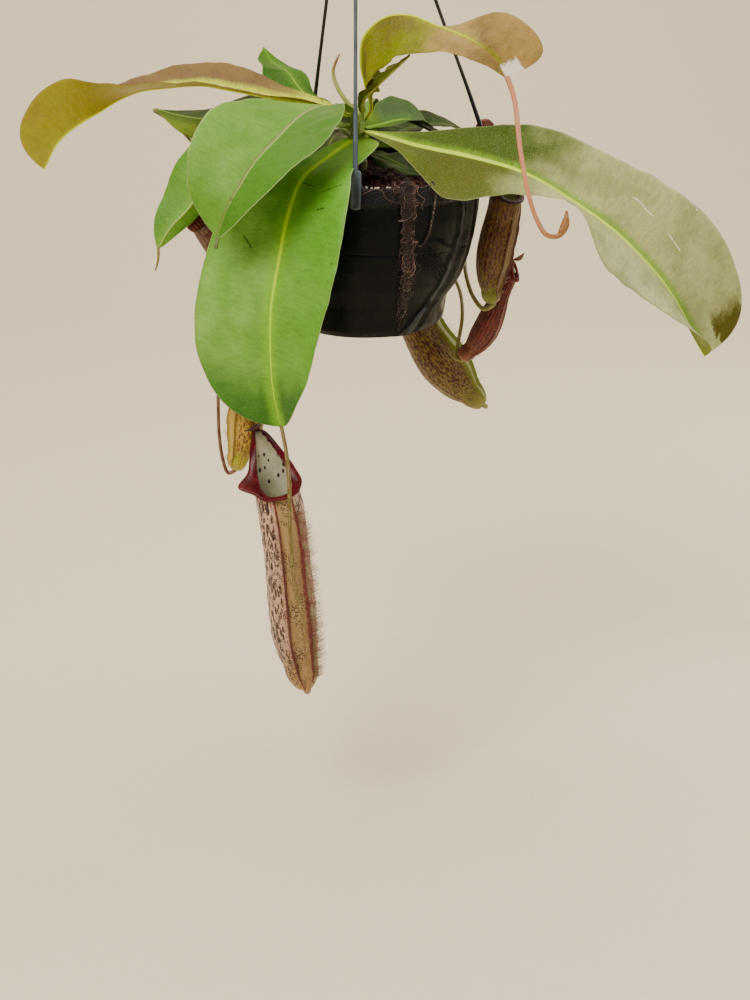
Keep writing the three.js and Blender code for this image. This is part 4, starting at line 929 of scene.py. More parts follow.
# %% What each leaf is
LEAVES = {
    "front_large": dict(
        stem=[-25, 18], tip=10, wave=1.2, waves=2.5, slot="leaf_green",
        rib=[[-28, -38, 14], [-44, -64, 5], [-52, -80, -13], [-58, -88, -40], [-63, -91, -69],
            [-64, -90, -95], [-63, -86, -123], [-59, -82, -147.5]],
        left=dict(width=[4, 12, 38, 49, 54, 56, 48], lift=[30, 12, 4, 4, 4, 8, 20]),
        right=dict(width=[12, 26, 30, 32, 39, 43, 44, 43, 41, 38, 34, 28, 22], lift=[10, 8, 8, 6, 10, 14,
            20]),
        scratches=[[-3, 72, -13, 75], [-20, 79, -32, 74], [-21, 90, -25, 89], [20, 118, 26, 112]]),
    "front_left": dict(
        stem=[-46, 36], tip=10, wave=0.8, slot="leaf_green",
        rib=[[-31, -22, 42], [-44, -42, 40], [-57, -65, 31], [-72, -88, 18], [-80, -96, 6], [-86, -99, -4],
            [-93, -97, -23]],
        left=dict(width=[3, 8, 30, 39, 40, 36, 24], lift=[0, 4, 16, 32, 38, 30, 20]),
        right=dict(width=[3, 16, 32, 38, 36, 24, 10], lift=[15, 10, 8, 12, 20])),
    "left_low": dict(
        stem=[-75, 27], tip=11, wave=0.6, slot="leaf_green",
        rib=[[-52, -16, 28], [-81, -30, 18], [-103, -42, -1], [-117, -47, -18], [-127, -50, -28],
            [-135, -54, -40]],
        left=dict(width=[3, 10, 18, 25, 26, 20, 9], lift=[10, 30, 40, 40, 60]),
        right=dict(width=[3, 8, 12, 13, 13, 10, 6], lift=[0, -40, -95, -110, -80])),
    "left_long": dict(
        stem=[-104, 33], tip=12, wave=0.8, waves=2.5, slot="leaf_olive",
        rib=[[-41, 4, 40], [-63, 6, 43], [-92, 7, 48], [-110, 6, 51], [-135, 0, 50], [-147, -4, 49],
            [-161, -8, 44], [-173, -12, 37], [-187, -17, 29], [-199, -22, 19], [-207, -28, 4]],
        left=dict(width=[3, 12, 22, 24, 24, 26, 20], lift=[20, 26, 34, 26, 10, 5, 40]),
        right=dict(width=[3, 14, 20, 22, 26, 33, 34], lift=[10, 10, 9, 9, 24, 78, 98])),
    "left_back": dict(
        stem=[-115, 26], tip=9, slot="leaf_dark",
        rib=[[-42, 22, 28], [-69, 40, 24], [-97, 54, 21], [-117, 62, 20], [-135, 68, 22], [-148, 72, 25]],
        left=dict(width=[3, 7, 20, 30, 28, 16, 4], lift=[10, 15, 26, 20, 10]),
        right=dict(width=[3, 8, 18, 24, 24, 16, 4], lift=[-20, -40, -45, -45, -40])),
    "back_raised": dict(
        stem=[-146, 32], tip=9, slot="leaf_green",
        rib=[[-20, 11, 32], [-32, 23, 33], [-42, 35, 37], [-51, 47, 44], [-58, 60, 51], [-70, 74, 57],
            [-75, 84, 64]],
        left=dict(width=[3, 6, 9, 10, 12, 10, 4], lift=[10, 5, 0, 5]),
        right=dict(width=[3, 4, 12, 20, 22, 16, 4], lift=[-20, -15, 0, 10, 10])),
    "right_large": dict(
        stem=[75, 23], tip=36, wave=1, slot="leaf_grey",
        rib=[[11, -17, 21], [27, -26, 18], [59, -36, 13], [92, -42, 4], [124, -44, -14], [150, -45, -32],
            [170, -44, -51], [183, -42, -66], [196, -39, -85], [206, -36, -103], [214, -33, -116]],
        left=dict(width=[3, 16, 37, 34, 30, 33, 31, 22, 12], lift=[0, -4, -12, 0, 12, -14, -20, 0, 50],
            droop=[0, -1, -12, -6, 0, -6, 0, 0, 0]),
        right=dict(width=[3, 16, 30, 38, 46, 51, 45], lift=[10, 30, 45, 52, 58, 62, 58, 48], sweep=[0, 0, 0,
            0, 0, 0, 0, 0, -0.1, -0.4]),
        scratches=[[-25, 175, -24, 191], [-23, 206, -21.5, 219]]),
    "top_newest": dict(
        stem=[80, 31], turn=80, tip=24, wave=0.4, slot="leaf_olive",
        rib=[[-3, -3, 38], [-6, -6, 51], [-9, -10, 67], [-7, -14, 83], [6, -18, 95], [21, -24, 97],
            [39, -31, 91], [51, -36, 87], [64, -41, 81], [73, -44, 74], [80, -47, 63]],
        left=dict(width=[2.5, 7, 16, 26, 32, 26, 22, 20, 8], lift=[0, -40, -60, -62, -62, -38, -14, -4, -4],
            sweep=[0, 0.5, 1.1, 0.95, 0.3, 0, 0, 0, 0]),
        right=dict(width=[2.5, 6, 14, 23, 29, 24, 17, 26, 42], lift=[0, -20, -56, -60, -56, -34, 16, 76, 84],
            sweep=[0, 0.5, 1.1, 0.95, 0.3, 0, 0, 0, -0.2])),
    "young_spear": dict(
        stem=[45, 36], turn=60, tip=14, slot="leaf_green",
        rib=[[-8, -11, 43], [-1, -24, 53], [12, -33, 66], [21, -38, 75]],
        left=dict(width=[2, 4, 5, 3, 1], lift=[40, 60]),
        right=dict(width=[2, 4, 5, 3, 1], lift=[40, 60])),
    "right_back_near": dict(
        stem=[125, 24], tip=10, slot="leaf_green",
        rib=[[5, 12, 25], [14, 26, 25], [23, 38, 23], [33, 44, 18], [43, 49, 11], [54, 57, -4],
            [63, 64, -24], [68, 67, -42]],
        left=dict(width=[3, 8, 14, 18, 18, 14, 6], lift=[0, 0, -10, -20]),
        right=dict(width=[3, 15, 20, 14, 12, 10, 5], lift=[40, 50, 48, 28, 20, 20, 20])),
    "right_back_far": dict(
        stem=[140, 12], tip=10, slot="leaf_dark",
        rib=[[0, 24, 13], [14, 48, 13], [30, 70, 14], [48, 84, 13], [64, 92, 6]],
        left=dict(width=[3, 6, 8, 10, 10, 8, 4], lift=[0, 0]),
        right=dict(width=[3, 6, 10, 14, 16, 14, 5], lift=[0, 10, 25, 25])),
    "under_right": dict(
        stem=[50, 10], tip=8, slot="leaf_dark",
        rib=[[6, -16, 9], [18, -24, 5], [31, -30, 0]],
        left=dict(width=[3, 9, 13, 11, 6], lift=[0, 0]),
        right=dict(width=[3, 9, 13, 11, 6], lift=[10, 0])),
    "behind_front": dict(
        stem=[-52, 8], tip=10, wave=0.5, slot="leaf_dark",
        rib=[[-28, -15, 8], [-46, -27, 8], [-60, -40, 6.5], [-68, -47, -3], [-74, -48, -20], [-84, -47, -50],
            [-95, -45, -82], [-102, -43, -112], [-102, -42, -141]],
        left=dict(width=[3, 5, 5, 8, 9, 8, 5], lift=[0, 0]),
        right=dict(width=[3, 5, 6, 9, 10, 8, 5], lift=[0, 0])),
    "back": dict(
        stem=[174, 27], tip=10, slot="leaf_green",
        rib=[[-10, 30, 32], [-12, 60, 29], [-8, 88, 12], [2, 104, -16], [16, 106, -50]],
        left=dict(width=[3, 8, 14, 18, 20, 16, 8], lift=[10, 10]),
        right=dict(width=[3, 8, 14, 16, 14, 12, 6], lift=[10, 10])),
    "back_left": dict(
        stem=[-150, 18, 0.5], tip=10, slot="leaf_dark",
        rib=[[-20, 30, 19], [-27, 62, 11], [-33, 92, -5], [-36, 114, -28], [-34, 121, -46]],
        left=dict(width=[3, 8, 12, 14, 14, 12, 6], lift=[0, 5]),
        right=dict(width=[3, 6, 7, 12, 18, 14, 6], lift=[0, 5])),
}

print("leaves:", len(LEAVES))

# %% A blade as a function of two parameters
LEAF_THICKNESS = 0.75
LEAF_RIB = 1.5


def on_stem(azimuth, z, clear=1.0):
    """Where a midrib leaves the stem: its radius and a little more, at an azimuth from the front."""
    radius = stem_radius(z) + clear
    turn = math.radians(azimuth)
    return [STEM_FOOT[0] + radius * math.sin(turn), STEM_FOOT[1] - radius * math.cos(turn), z]


def blade_middle(leaf, t, a, seed):
    """The middle surface: midrib(t) + side * w cos(lift) + up * (w sin(lift) + droop + wave) - along *
    sweep, where w = |a| * half width * (1 - t^tip)^0.6 and the wave is a sine along the edge."""
    points = np.array([on_stem(*leaf["stem"]), *leaf["rib"]], float)
    line, along = spline(points, t)
    facing = points[-1] - points[0]
    if "turn" in leaf:
        facing = np.array([math.sin(math.radians(leaf["turn"])), -math.cos(math.radians(leaf["turn"])), 0])
    side = carried(along, np.cross([facing[0], facing[1], 0], [0, 0, 1.0]))
    up = np.cross(side, along)

    def halves(key):
        right, left = (track(leaf[half].get(key, [0, 0]), t)[:, None] for half in ("right", "left"))
        return np.where(a > 0, left, right)

    out = np.abs(a)
    narrow = (1 - t ** leaf["tip"])[:, None] ** 0.6
    width = np.maximum(halves("width") * narrow, 0.8) * out
    lift = np.radians(halves("lift"))
    phase = 2 * np.pi * (leaf.get("waves", 3) * t[:, None] + np.where(a > 0, 0.35, 0))
    inner = np.sin(np.pi * t)[:, None]
    wave = leaf.get("wave", 1.5) * np.sin(phase) * out**2 * inner
    droop = halves("droop") * out**2
    swept = halves("sweep") * width
    place = line[:, None] + side[:, None] * (np.sign(a) * width * np.cos(lift))[..., None]
    fine = 0.5 * ripple(place, 19, seed) + 0.22 * ripple(place, 8, seed + 1)
    rise = width * np.sin(lift) + droop + wave + fine * np.minimum(out * 3, 1) * inner
    place = place + up[:, None] * rise[..., None] - along[:, None] * swept[..., None]
    gone = np.concatenate([[0], np.cumsum(np.linalg.norm(np.diff(line, axis=0), axis=1))])
    return place, np.sign(a) * width, gone


def blade_skin(leaf, seed, rows=120, half=24):
    """Thickens the middle surface into one closed blade. The top has a shallow channel with the midrib
    raised in it, the underside a round midrib, and both meet at a thin edge."""
    t = 1 - (1 - np.linspace(0, 1, rows)) ** 1.35
    b = np.linspace(-1, 1, 2 * half + 1)
    a = (np.sign(b) * np.abs(b) ** 1.3)[None]
    place, across, gone = blade_middle(leaf, t, a, seed)
    normal = unit(np.cross(np.gradient(place, axis=1), np.gradient(place, axis=0)))
    thin = LEAF_THICKNESS / 2 * np.sqrt(np.clip(1 - np.abs(a) ** 9, 0.06, 1))
    fading = 1 - 0.75 * t[:, None]
    upper = thin + fading * (0.75 * np.exp(-((across / 1.15) ** 2)) - 0.45 * np.exp(-((across / 3.6) ** 2)))
    lower = thin + fading * LEAF_RIB * np.exp(-((across / 1.5) ** 2))
    under = (place - normal * lower[..., None])[:, ::-1]
    ring = np.concatenate([place + normal * upper[..., None], under], axis=1)

    def round_it(top, bottom=None):
        """Values of the top from edge to edge, followed by those of the underside on the way back."""
        top = top + 0 * across
        return np.concatenate([top, top[:, ::-1] if bottom is None else bottom + 0 * across], axis=1)

    edge = np.where(a > 0, across[:, -1:] - across, across - across[:, :1])
    shares = stacked(round_it(a), round_it(t[:, None]), round_it(1.0, 0.0))
    lengths = stacked(round_it(across), round_it(gone[:, None]), round_it(edge))
    return ring, {"shares": shares, "lengths": lengths}


# %% [markdown]
# ## The finish of a leaf
#
# What makes these leaves look real is not one green. The midrib is lime and glows a little into the
# blade beside it, the edge is a thin pale line, the underside is yellower than the top, freckles and
# scurf lie in patches, old leaves are stained brown, and veins run faintly across. All of them share one
# node group, which reads two vectors stored on the blade: its shares (across, along, top or underside)
# and its lengths in millimetres (across, along, distance to the edge). Each leaf then places the group
# with its own colours, and two of them have scratches, which are drawn on these lengths too.

# %% Leaf colour group
leaf_paint = net = Group("leaf_paint", dict(
    Where=None, Shares=None, Lengths=None, Top="86b356", Second="9dbf65", Halo="7fb135", Halo_width=9.0,
    Rib="d3dc7a", Underside="8a9a3f", Edge="6c8438", Stain="8a6a50", Stain_amount=0.0, End="7a6a30",
    End_from=1.5, End_reach=90.0, Half="86b356", Half_side=1.0, Half_amount=0.0, Later="86b356",
    Later_from=1.5, Halo_shift=0.0, End_shift=0.0, End_blur=0.05, Scurf=0.06, Rib_width=1.0, Grain=0.07,
    Mark="33460e", Start="94b020", Start_amount=0.5,
), ["Color", "Height", "Dull"])
given = net.given
share, length = net.split(given["Shares"]), net.split(given["Lengths"])
broad = net.span(net.cloud(given["Where"], 26.0, 4.0), 0.3, 0.7)
tone = net.mixed(broad, given["Top"], given["Second"])
# Half paints one half of the blade its own colour; on some leaves this is painted light or painted shade, as
# their tones say.
on_half = net.span(net.times(share["X"], given["Half side"]), 0.0, 0.05)
tone = net.mixed(net.times(on_half, given["Half amount"]), tone, given["Half"])
grown_on = net.plus(share["Y"], net.times(broad, 0.12))
later = net.span(net.minus(grown_on, given["Later from"]), -0.02, 0.14)
tone = net.mixed(later, tone, given["Later"])
starting = net.times(net.span(grown_on, 0.24, 0.08), given["Start amount"])
tone = net.mixed(starting, tone, given["Start"])
streaked = net.stretched(given["Lengths"], 0.0009, 0.0026, 0.0)
streaks = net.cloud(streaked, 160.0, 4.0, 0.6)
away = net.size(length["X"])
shifted = net.size(net.minus(length["X"], given["Halo shift"]))
beside = net.over(shifted, given["Halo width"])
glow = net.span(net.plus(beside, net.times(streaks, 0.5)), 1.25, 0.2)
tone = net.mixed(net.times(glow, 0.85), tone, given["Halo"])
below = net.mixed(broad, given["Underside"], net.mixed(0.5, given["Underside"], given["Second"]))
tone = net.mixed(net.span(share["Z"], 0.35, 0.65), below, tone)
veined = net.span(streaks, 0.35, 0.75)
tone = net.mixed(net.times(veined, 0.24), tone, "2f4a10")
stains = net.cloud(given["Where"], 34.0, 6.0, 0.62)
stained = net.times(net.span(stains, 0.42, 0.62), given["Stain amount"])
tone = net.mixed(stained, tone, given["Stain"])
scurfy = net.freckled(given["Where"], 780.0, 0.26, given["Scurf"])
tone = net.mixed(scurfy, tone, "d5dcae")
drawn = net.stretched(given["Where"], 1.0, 0.25, 1.0)
marks = net.span(net.cloud(drawn, 230.0, 2.0), 0.735, 0.77)
tone = net.mixed(net.times(marks, 0.6), tone, given["Mark"])
pores = net.cloud(given["Where"], 1300.0, 3.0, 0.6)
dark_grain = net.times(net.span(pores, 0.52, 0.34), given["Grain"])
tone = net.mixed(dark_grain, tone, "3a4410")
pale_grain = net.times(net.span(pores, 0.5, 0.68), given["Grain"])
tone = net.mixed(pale_grain, tone, "d8dcb0")
wide = net.times(net.minus(1.15, share["Y"]), given["Rib width"])
on_rib = net.span(net.over(away, wide), 1.35, 0.55)
tone = net.mixed(on_rib, tone, given["Rib"])
rim = net.span(length["Z"], 0.8, 0.2)
tone = net.mixed(net.times(rim, 0.6), tone, given["Edge"])
jagged = net.cloud(given["Where"], 210.0, 4.0, 0.65)
ends = net.plus(share["Y"], net.times(jagged, 0.06))
at_end = net.span(net.minus(ends, given["End from"]), 0.0, given["End blur"])
aside = net.size(net.minus(length["X"], given["End shift"]))
aside = net.plus(net.over(aside, given["End reach"]), jagged)
close = net.span(aside, 1.5, 1.36)
tone = net.mixed(net.times(at_end, close), tone, given["End"])
net.give(Color=tone)
relief = net.plus(net.times(streaks, 0.8), net.times(pores, 0.35))
net.give(Height=relief)
net.give(Dull=net.plus(net.times(scurfy, 0.3), net.times(broad, 0.14)))
print("leaf paint:", len(leaf_paint.tree.nodes), "nodes")

SCRATCH_WIDTH = 0.6


def scratched(net, lengths, ends):
    """How much of a scratch lies at a point: near the nearest point of the line between two places, given in
    millimetres across and along the leaf, and broken up by a cloud."""
    start, run = np.array([*ends[:2], 0.0]), np.array([ends[2] - ends[0], ends[3] - ends[1], 0.0])
    flat = net.put("VectorMath", {0: lengths, 1: (1, 1, 0)}, operation="MULTIPLY").outputs["Vector"]
    gone = net.put("VectorMath", {0: flat, 1: start.tolist()}, operation="SUBTRACT").outputs["Vector"]
    part = net.put("VectorMath", {0: gone, 1: (run / (run @ run)).tolist()}, operation="DOT_PRODUCT")
    held = net.put("Clamp", {"Value": part.outputs["Value"]}).outputs[0]
    nearest = net.put("VectorMath", {0: run.tolist(), "Scale": held}, operation="SCALE").outputs["Vector"]
    off = net.put("VectorMath", {0: gone, 1: nearest}, operation="DISTANCE").outputs["Value"]
    torn = net.cloud(net.stretched(lengths, 1.0, 1.0, 0.0), 0.7, 4.0, 0.75)
    ragged = net.plus(off, net.times(torn, 5 * SCRATCH_WIDTH))
    return net.span(ragged, 3.3 * SCRATCH_WIDTH, 2.7 * SCRATCH_WIDTH)


def leaf_finish(name, tones, specular, scratches):
    """One leaf's material: the shared paint with this leaf's own colours, its scratches and a waxy shine."""
    net = Finish(name, Specular_IOR_Level=specular)
    shares, lengths = net.stored("shares"), net.stored("lengths")
    out = net.use(leaf_paint, dict(tones, Where=net.where(), Shares=shares, Lengths=lengths))
    tone = out["Color"]
    for ends in scratches:
        on_top = net.span(net.split(shares)["Z"], 0.5, 0.9)
        torn = net.times(scratched(net, lengths, ends), on_top)
        tone = net.mixed(torn, tone, tones.get("Mark", "1e2c06"))
    net.feed(Base_Color=tone, Roughness=net.plus(out["Dull"], 0.36))
    net.bumped(out["Height"], 0.0005)
    return net


# %% Each leaf's own colours
LEAF_TONES = {
    # Painted light: the right half of the front leaf is painted a deeper green (Half) than the left, standing
    # in for the sheen on the left half.
    "front_large": dict(Top="5a9a22", Second="88bc50", Halo="80bc14", Rib="b8e01c", Underside="6f8a22",
        Rib_width=1.9, Later="2f6a10", Later_from=0.87, Edge="a4bc74", Start="7ca410", Half="5c9e1c",
        Half_side=-1.0, Half_amount=0.6, Start_amount=0.8),
    "front_left": dict(Top="528e1a", Second="72a638", Halo="76803c", Halo_width=1.6, Halo_shift=1.2,
        Rib="a8a468", Rib_width=0.75, Edge="b4c47c", Underside="729030", Half="3c7410", Half_side=-1.0,
        Half_amount=0.8),
    "left_low": dict(Top="4e8416", Second="609428", Halo="6c9c2c", Rib="a4c060", Underside="4c7008",
        Edge="94ac5c"),
    "left_long": dict(Top="b4c02c", Second="98a824", Halo="ccdc2c", Halo_width=6.0, Halo_shift=3.0,
        Rib="dcf424", Underside="a08c14", Edge="84643c", Stain="8a6c30", Stain_amount=0.35, Later="745838",
        Later_from=0.2, Scurf=0.1, Rib_width=2.0),
    # Painted light and shade: the far half is painted as dark as its shadow (Top, Second, Halo), and the near
    # half is painted light (Half), as if lit from behind.
    "left_back": dict(Top="142a02", Second="1e3a04", Halo="2c4c06", Rib="7c9030", Underside="788808",
        Stain="7c3a1a", Stain_amount=0.08, Half="708804", Half_side=-1.0, Half_amount=0.95),
    "back_raised": dict(Top="285402", Second="3c7006", Halo="4c7c0c", Rib="88a834", Underside="4c6c0c",
        Edge="7c9848"),
    "right_large": dict(Top="44580c", Second="4c6814", Halo="84b428", Halo_width=5.0, Halo_shift=-2.4,
        Rib="d4f43c", Underside="8c9820", Edge="9ca46c", Stain="4c6420", Stain_amount=0.35, Scurf=0.0,
        Half="5c5c14", Half_side=1.0, Half_amount=0.75, Later="bcc080", Later_from=0.4, End="545008",
        End_from=0.93, End_reach=15.0, End_shift=-30.0, Grain=0.14, Mark="f0ecd8", Rib_width=2.2),
    "top_newest": dict(Top="748000", Second="848402", Halo="a0a804", Halo_width=4.0, Rib="d0dc24",
        Underside="7c7c04", Edge="8c7c1c", Stain="64502c", Stain_amount=0.6, Scurf=0.04, Start="9cc010",
        Start_amount=0.9, Later="ac8c50", Later_from=0.7, End="f4ece0", End_from=0.975, End_reach=7.5,
        End_shift=-4.5, End_blur=0.012, Grain=0.12),
    "young_spear": dict(Top="60641a", Second="707020", Halo="84843c", Rib="a0a050", Underside="546414",
        Edge="3c2410", Stain="503018", Stain_amount=0.5),
    "right_back_near": dict(Top="224402", Second="346004", Halo="487c08", Rib="84ac2c", Underside="284802",
        Half="34541c", Half_side=-1.0, Half_amount=0.9),
    # Painted shade: this leaf behind the back right leaves is coloured almost black-green, as dark as the
    # shadow it lies in.
    "right_back_far": dict(Top="0e2002", Second="142c02", Halo="1c3c04", Rib="486424", Underside="1c3004",
        Edge="344c14"),
    # Painted shade: this leaf under the large right leaf is coloured as dark as the shadow it lies in.
    "under_right": dict(Top="183404", Second="224408", Halo="2c4c0a", Rib="587028", Underside="304c10",
        Edge="34500f"),
    # Painted shade: this leaf under the two front leaves is coloured as dark as the shadow it lies in.
    "behind_front": dict(Top="284808", Second="385c10", Halo="3c6010", Rib="748834", Underside="3c5c18"),
    "back": dict(Top="3c6c12", Second="508020", Halo="548018", Rib="9cb44c", Underside="4c6c18",
        Edge="84a054"),
    "back_left": dict(Top="284c0a", Second="386014", Halo="406c12", Rib="80983c", Underside="3c5c14"),
}
for number, (name, leaf) in enumerate(LEAVES.items()):
    ring, attributes = blade_skin(leaf, 100 + 7 * number)
    shine = 0.22 if name in ("front_large", "front_left") else 0.12
    finish = leaf_finish("leaf_" + name + "_skin", LEAF_TONES[name], shine, leaf.get("scratches", []))
    blade = add_piece("blade_" + name, ring, finish, leaf["slot"], "leaf_" + name, **attributes)
print("last blade:", len(blade.data.polygons), "faces")

# %% [markdown]
# ## Tendrils
#
# A tendril goes on from the leaf's tip, hangs, and turns up into the foot of a pitcher. It is a rod whose
# radius changes a little along it, never quite straight, with a skin that is streaked lengthwise and
# freckled. The newest one still ends in a closed bud, which is the same rod swollen.

# %% What each tendril passes
TENDRILS = {
    "main": dict(
        leaf="front_large", pitcher="main", radii=[1.3, 1.3, 1.4, 1.5, 1.8, 2.4], slot="green",
        points=[[-56, -90, -160], [-54, -97, -178], [-54, -98, -205], [-53, -98, -232], [-51, -98, -254],
            [-47, -96, -274], [-44, -93, -302], [-43.5, -90, -320], [-44, -86.5, -330],
            [-45, -82.5, -335.5]]),
    "second": dict(
        leaf="behind_front", pitcher="second", radii=[1.1, 1.2, 1.5], slot="red",
        points=[[-102, -44, -165], [-100, -46, -183], [-96.5, -46.5, -192.5]]),
    "newest": dict(
        leaf="top_newest", radii=[1.7, 1.6, 1.5, 1.4, 1.4, 1.5, 1.6, 2.6, 0.6], slot="pink",
        points=[[84, -53, 51], [87, -70, 24], [92, -82, -1], [97, -85, -15], [103, -86, -24],
            [110, -85, -25], [114, -84, -19], [115, -83, -10]]),
    "spike": dict(
        radii=[1.6, 1.5, 1.2, 0.9, 0.5], slot="green",
        points=[[-14.6, -3.2, 38.1], [-20.5, -6.5, 46], [-25, -8, 55], [-26, -9, 62], [-24, -10, 68],
            [-22, -10, 72]]),
    "front_left": dict(
        leaf="front_left", clear=0.4, radii=[1.1, 1], slot="green",
        points=[[-94.5, -96, -27], [-95, -96, -30]]),
    "left_low": dict(
        leaf="left_low", radii=[1, 0.8, 0.5], slot="green",
        points=[[-135, -55, -47], [-137, -55, -54]]),
    "left_back": dict(
        leaf="left_back", pitcher="young_left", radii=[1, 1, 1.1, 1.2], slot="green",
        points=[[-149.8, 75, 23.5], [-146, 78, 20.5], [-138, 78, 15], [-124, 70, 3], [-108, 48, -12],
            [-95, 20, -44], [-84, -5, -78], [-83, -16, -87]]),
    "right_upper": dict(
        leaf="right_back_near", pitcher="right_upper", radii=[1.2, 1.4, 1.8], slot="green",
        points=[[67, 62, -57], [62, 46, -66], [61, 30, -76], [66, 19, -91], [73, 14, -98]]),
    "right_red": dict(
        leaf="back", pitcher="right_red", radii=[1.2, 1.3, 1.5], slot="green",
        points=[[28, 104, -66], [46, 84, -82], [58, 58, -95], [60, 40, -110], [57, 33, -128],
            [55.5, 31, -137]]),
    "under": dict(
        leaf="back_left", pitcher="under", radii=[1.2, 1.4, 1.8], slot="green",
        points=[[-26, 119, -75], [8, 108, -120], [47, 92, -155], [73, 71, -180], [79, 59, -182]]),
    "right_small": dict(
        leaf="right_back_far", pitcher="young_right", radii=[1, 1, 1.1], slot="green",
        points=[[74, 95, -6], [82, 90, -19], [82.5, 82, -25]]),
}

# %% [markdown]
# ## Pitchers
#
# A pitcher is a leaf tip turned into a cup. Its foot is round, its body a tube that widens and leans, and
# its mouth is cut aslant, high at the back. Two fringed wings run down its front, a ribbed glossy lip
# lies round the mouth, and a small lid stands at the back. The axis and the radii are the solid's own,
# but for the feet, which are a little blunter, as the photograph shows them.

# %% What each pitcher is
PITCHERS = {
    "main": dict(
        slot="mottled", wing=3.6, lip=3.6, mouth=0.765, neck=1.9, front=[0.3, -0.95, 0], corners=[1, 8.4],
            corner_width=0.22, corner_angle=1.5, inward=2.6, left_hairs=0.12, blunt=9,
        lid=dict(length=17, width=15, lean=95, rise=3.6),
        axis=[[-46.3, -78, -336.5], [-48, -74.8, -329], [-50, -73, -319], [-53, -73, -301], [-55, -74, -275],
            [-57, -75, -246], [-59, -76, -220], [-62, -76, -199], [-67, -73, -178], [-72, -68, -163],
            [-76, -65, -156]],
        radii=[2.2, 11, 15, 16, 15.5, 15, 15, 15, 14, 11, 7]),
    "second": dict(
        slot="mottled", wing=2, lip=2.6, mouth=0.82, neck=1.6, front=[-0.8, -0.5, 0], corners=[0.8, 0.8],
        lid=dict(length=15, width=15, lean=30, rise=1.75),
        axis=[[-92, -46, -190], [-90, -46, -184], [-86, -46, -170], [-82, -47, -145], [-79, -47, -121],
            [-77, -47, -105], [-77, -46, -95]],
        radii=[2, 8, 11, 11, 10.5, 10, 7]),
    "right_upper": dict(
        slot="mottled", wing=1.8, lip=2.6, mouth=0.84, neck=1.6, front=[0.8, -0.6, 0], corners=[0.8, 0.8],
        lid=dict(length=14, width=14, lean=45, rise=2.05),
        axis=[[79, 12, -93], [77, 12, -84], [77, 12, -71], [80, 10, -50], [84, 8, -30], [85, 6, -17],
            [86, 6, -8]],
        radii=[2, 8, 11, 11.5, 11, 10.5, 7]),
    "right_red": dict(
        slot="red", wing=1.2, lip=2, mouth=0.88, neck=1.5, front=[0.8, -0.4, -0.3], corners=[0.5, 0.5],
        lid=dict(length=9, width=8, lean=35, rise=2.9),
        axis=[[60, 30, -138], [63, 30, -133], [68, 30, -128], [75, 30, -117], [80, 30, -105], [86, 29, -91],
            [92, 28, -80], [95, 27, -72]],
        radii=[2, 6, 8.5, 8.5, 7, 5, 4.2, 4]),
    "under": dict(
        slot="mottled", wing=3, lip=3, mouth=0.84, neck=1.6, front=[0.78, -0.2, 0.6], corners=[0.8, 0.8],
        lid=dict(length=17, width=17, lean=30, rise=2.9),
        axis=[[77, 52, -179], [73, 53, -176], [65, 56, -170], [55, 60, -160], [44, 64, -146], [35, 69, -133],
            [28, 75, -116], [23, 80, -100], [20, 84, -89]],
        radii=[2, 9, 14.5, 16.5, 15.5, 14, 13, 12, 8]),
}

YOUNG_PITCHERS = {
    "young_left": dict(
        radii=[1.2, 4.5, 6, 6, 5.2], cap_radii=[6, 6.4, 3],
        axis=[[-87, -22, -82], [-96, -24, -60], [-106, -28, -40], [-111, -30, -32]],
        cap=[[-111.5, -30.2, -31.2], [-114, -31, -28], [-116, -32, -25]]),
    "young_right": dict(
        radii=[1.2, 4.5, 5.6, 5.6, 5], cap_radii=[5.8, 6.2, 3],
        axis=[[80, 76, -20], [78, 74, -8], [76, 72.5, 3], [75, 72, 9]],
        cap=[[74.9, 72, 10], [74.4, 71.6, 14.5], [74, 71, 18]]),
}
print("pitchers:", len(PITCHERS), "and", len(YOUNG_PITCHERS), "young")

# %% A tendril's skin
tendril_paint = net = Group("tendril_paint", dict(
    Where=None, Grown=None, Share=0.0, Near="94793f", Far="94793f", Speck="5a3a20",
), ["Color", "Height", "Dull"])
given = net.given
drawn = net.stretched(given["Grown"], 0.001, 0.001, 0.00018)
lines = net.cloud(drawn, 1400.0, 4.0, 0.6)
tone = net.mixed(net.span(given["Share"], 0.35, 0.85), given["Near"], given["Far"])
lit = net.mixed(net.span(lines, 0.4, 0.75), tone, "d8c9a0")
tone = net.mixed(0.35, tone, lit)
specks = net.freckled(given["Where"], 900.0, 0.3, 0.65)
net.give(Color=net.mixed(specks, tone, given["Speck"]))
net.give(Height=lines)
net.give(Dull=net.span(lines, 0.2, 0.8, 0.36, 0.6))


def tendril_finish(name, near, far, speck):
    """A tendril's material: one colour by the leaf, another at its end, lengthwise lines and specks."""
    net = Finish(name, Specular_IOR_Level=0.45)
    out = net.use(tendril_paint, dict(
        Where=net.where(), Grown=net.stored("grown"), Share=net.stored("share", "Fac"),
        Near=near, Far=far, Speck=speck))
    net.feed(Base_Color=out["Color"], Roughness=out["Dull"])
    net.bumped(out["Height"], 0.00025)
    return net


# %% Tendrils
TENDRIL_TONES = {
    "green": tendril_finish("tendril_olive", "7c6c2c", "747224", "46280f"),
    "main": tendril_finish("tendril_main_skin", "6a581a", "94602c", "402410"),
    "red": tendril_finish("tendril_dark_red", "5c241a", "6c3020", "3a140e"),
    "pink": tendril_finish("tendril_pink_skin", "c87c54", "8c5a20", "94402c"),
    "spike": tendril_finish("tendril_spike_skin", "b9bb6a", "8a5a34", "8c7440"),
    "front_left": tendril_finish("tendril_leafy_skin", "4c7420", "3c5018", "34280f"),
}


IN_LEAF, BEFORE_FOOT, IN_FOOT = 0.6, 0.8, 1.6


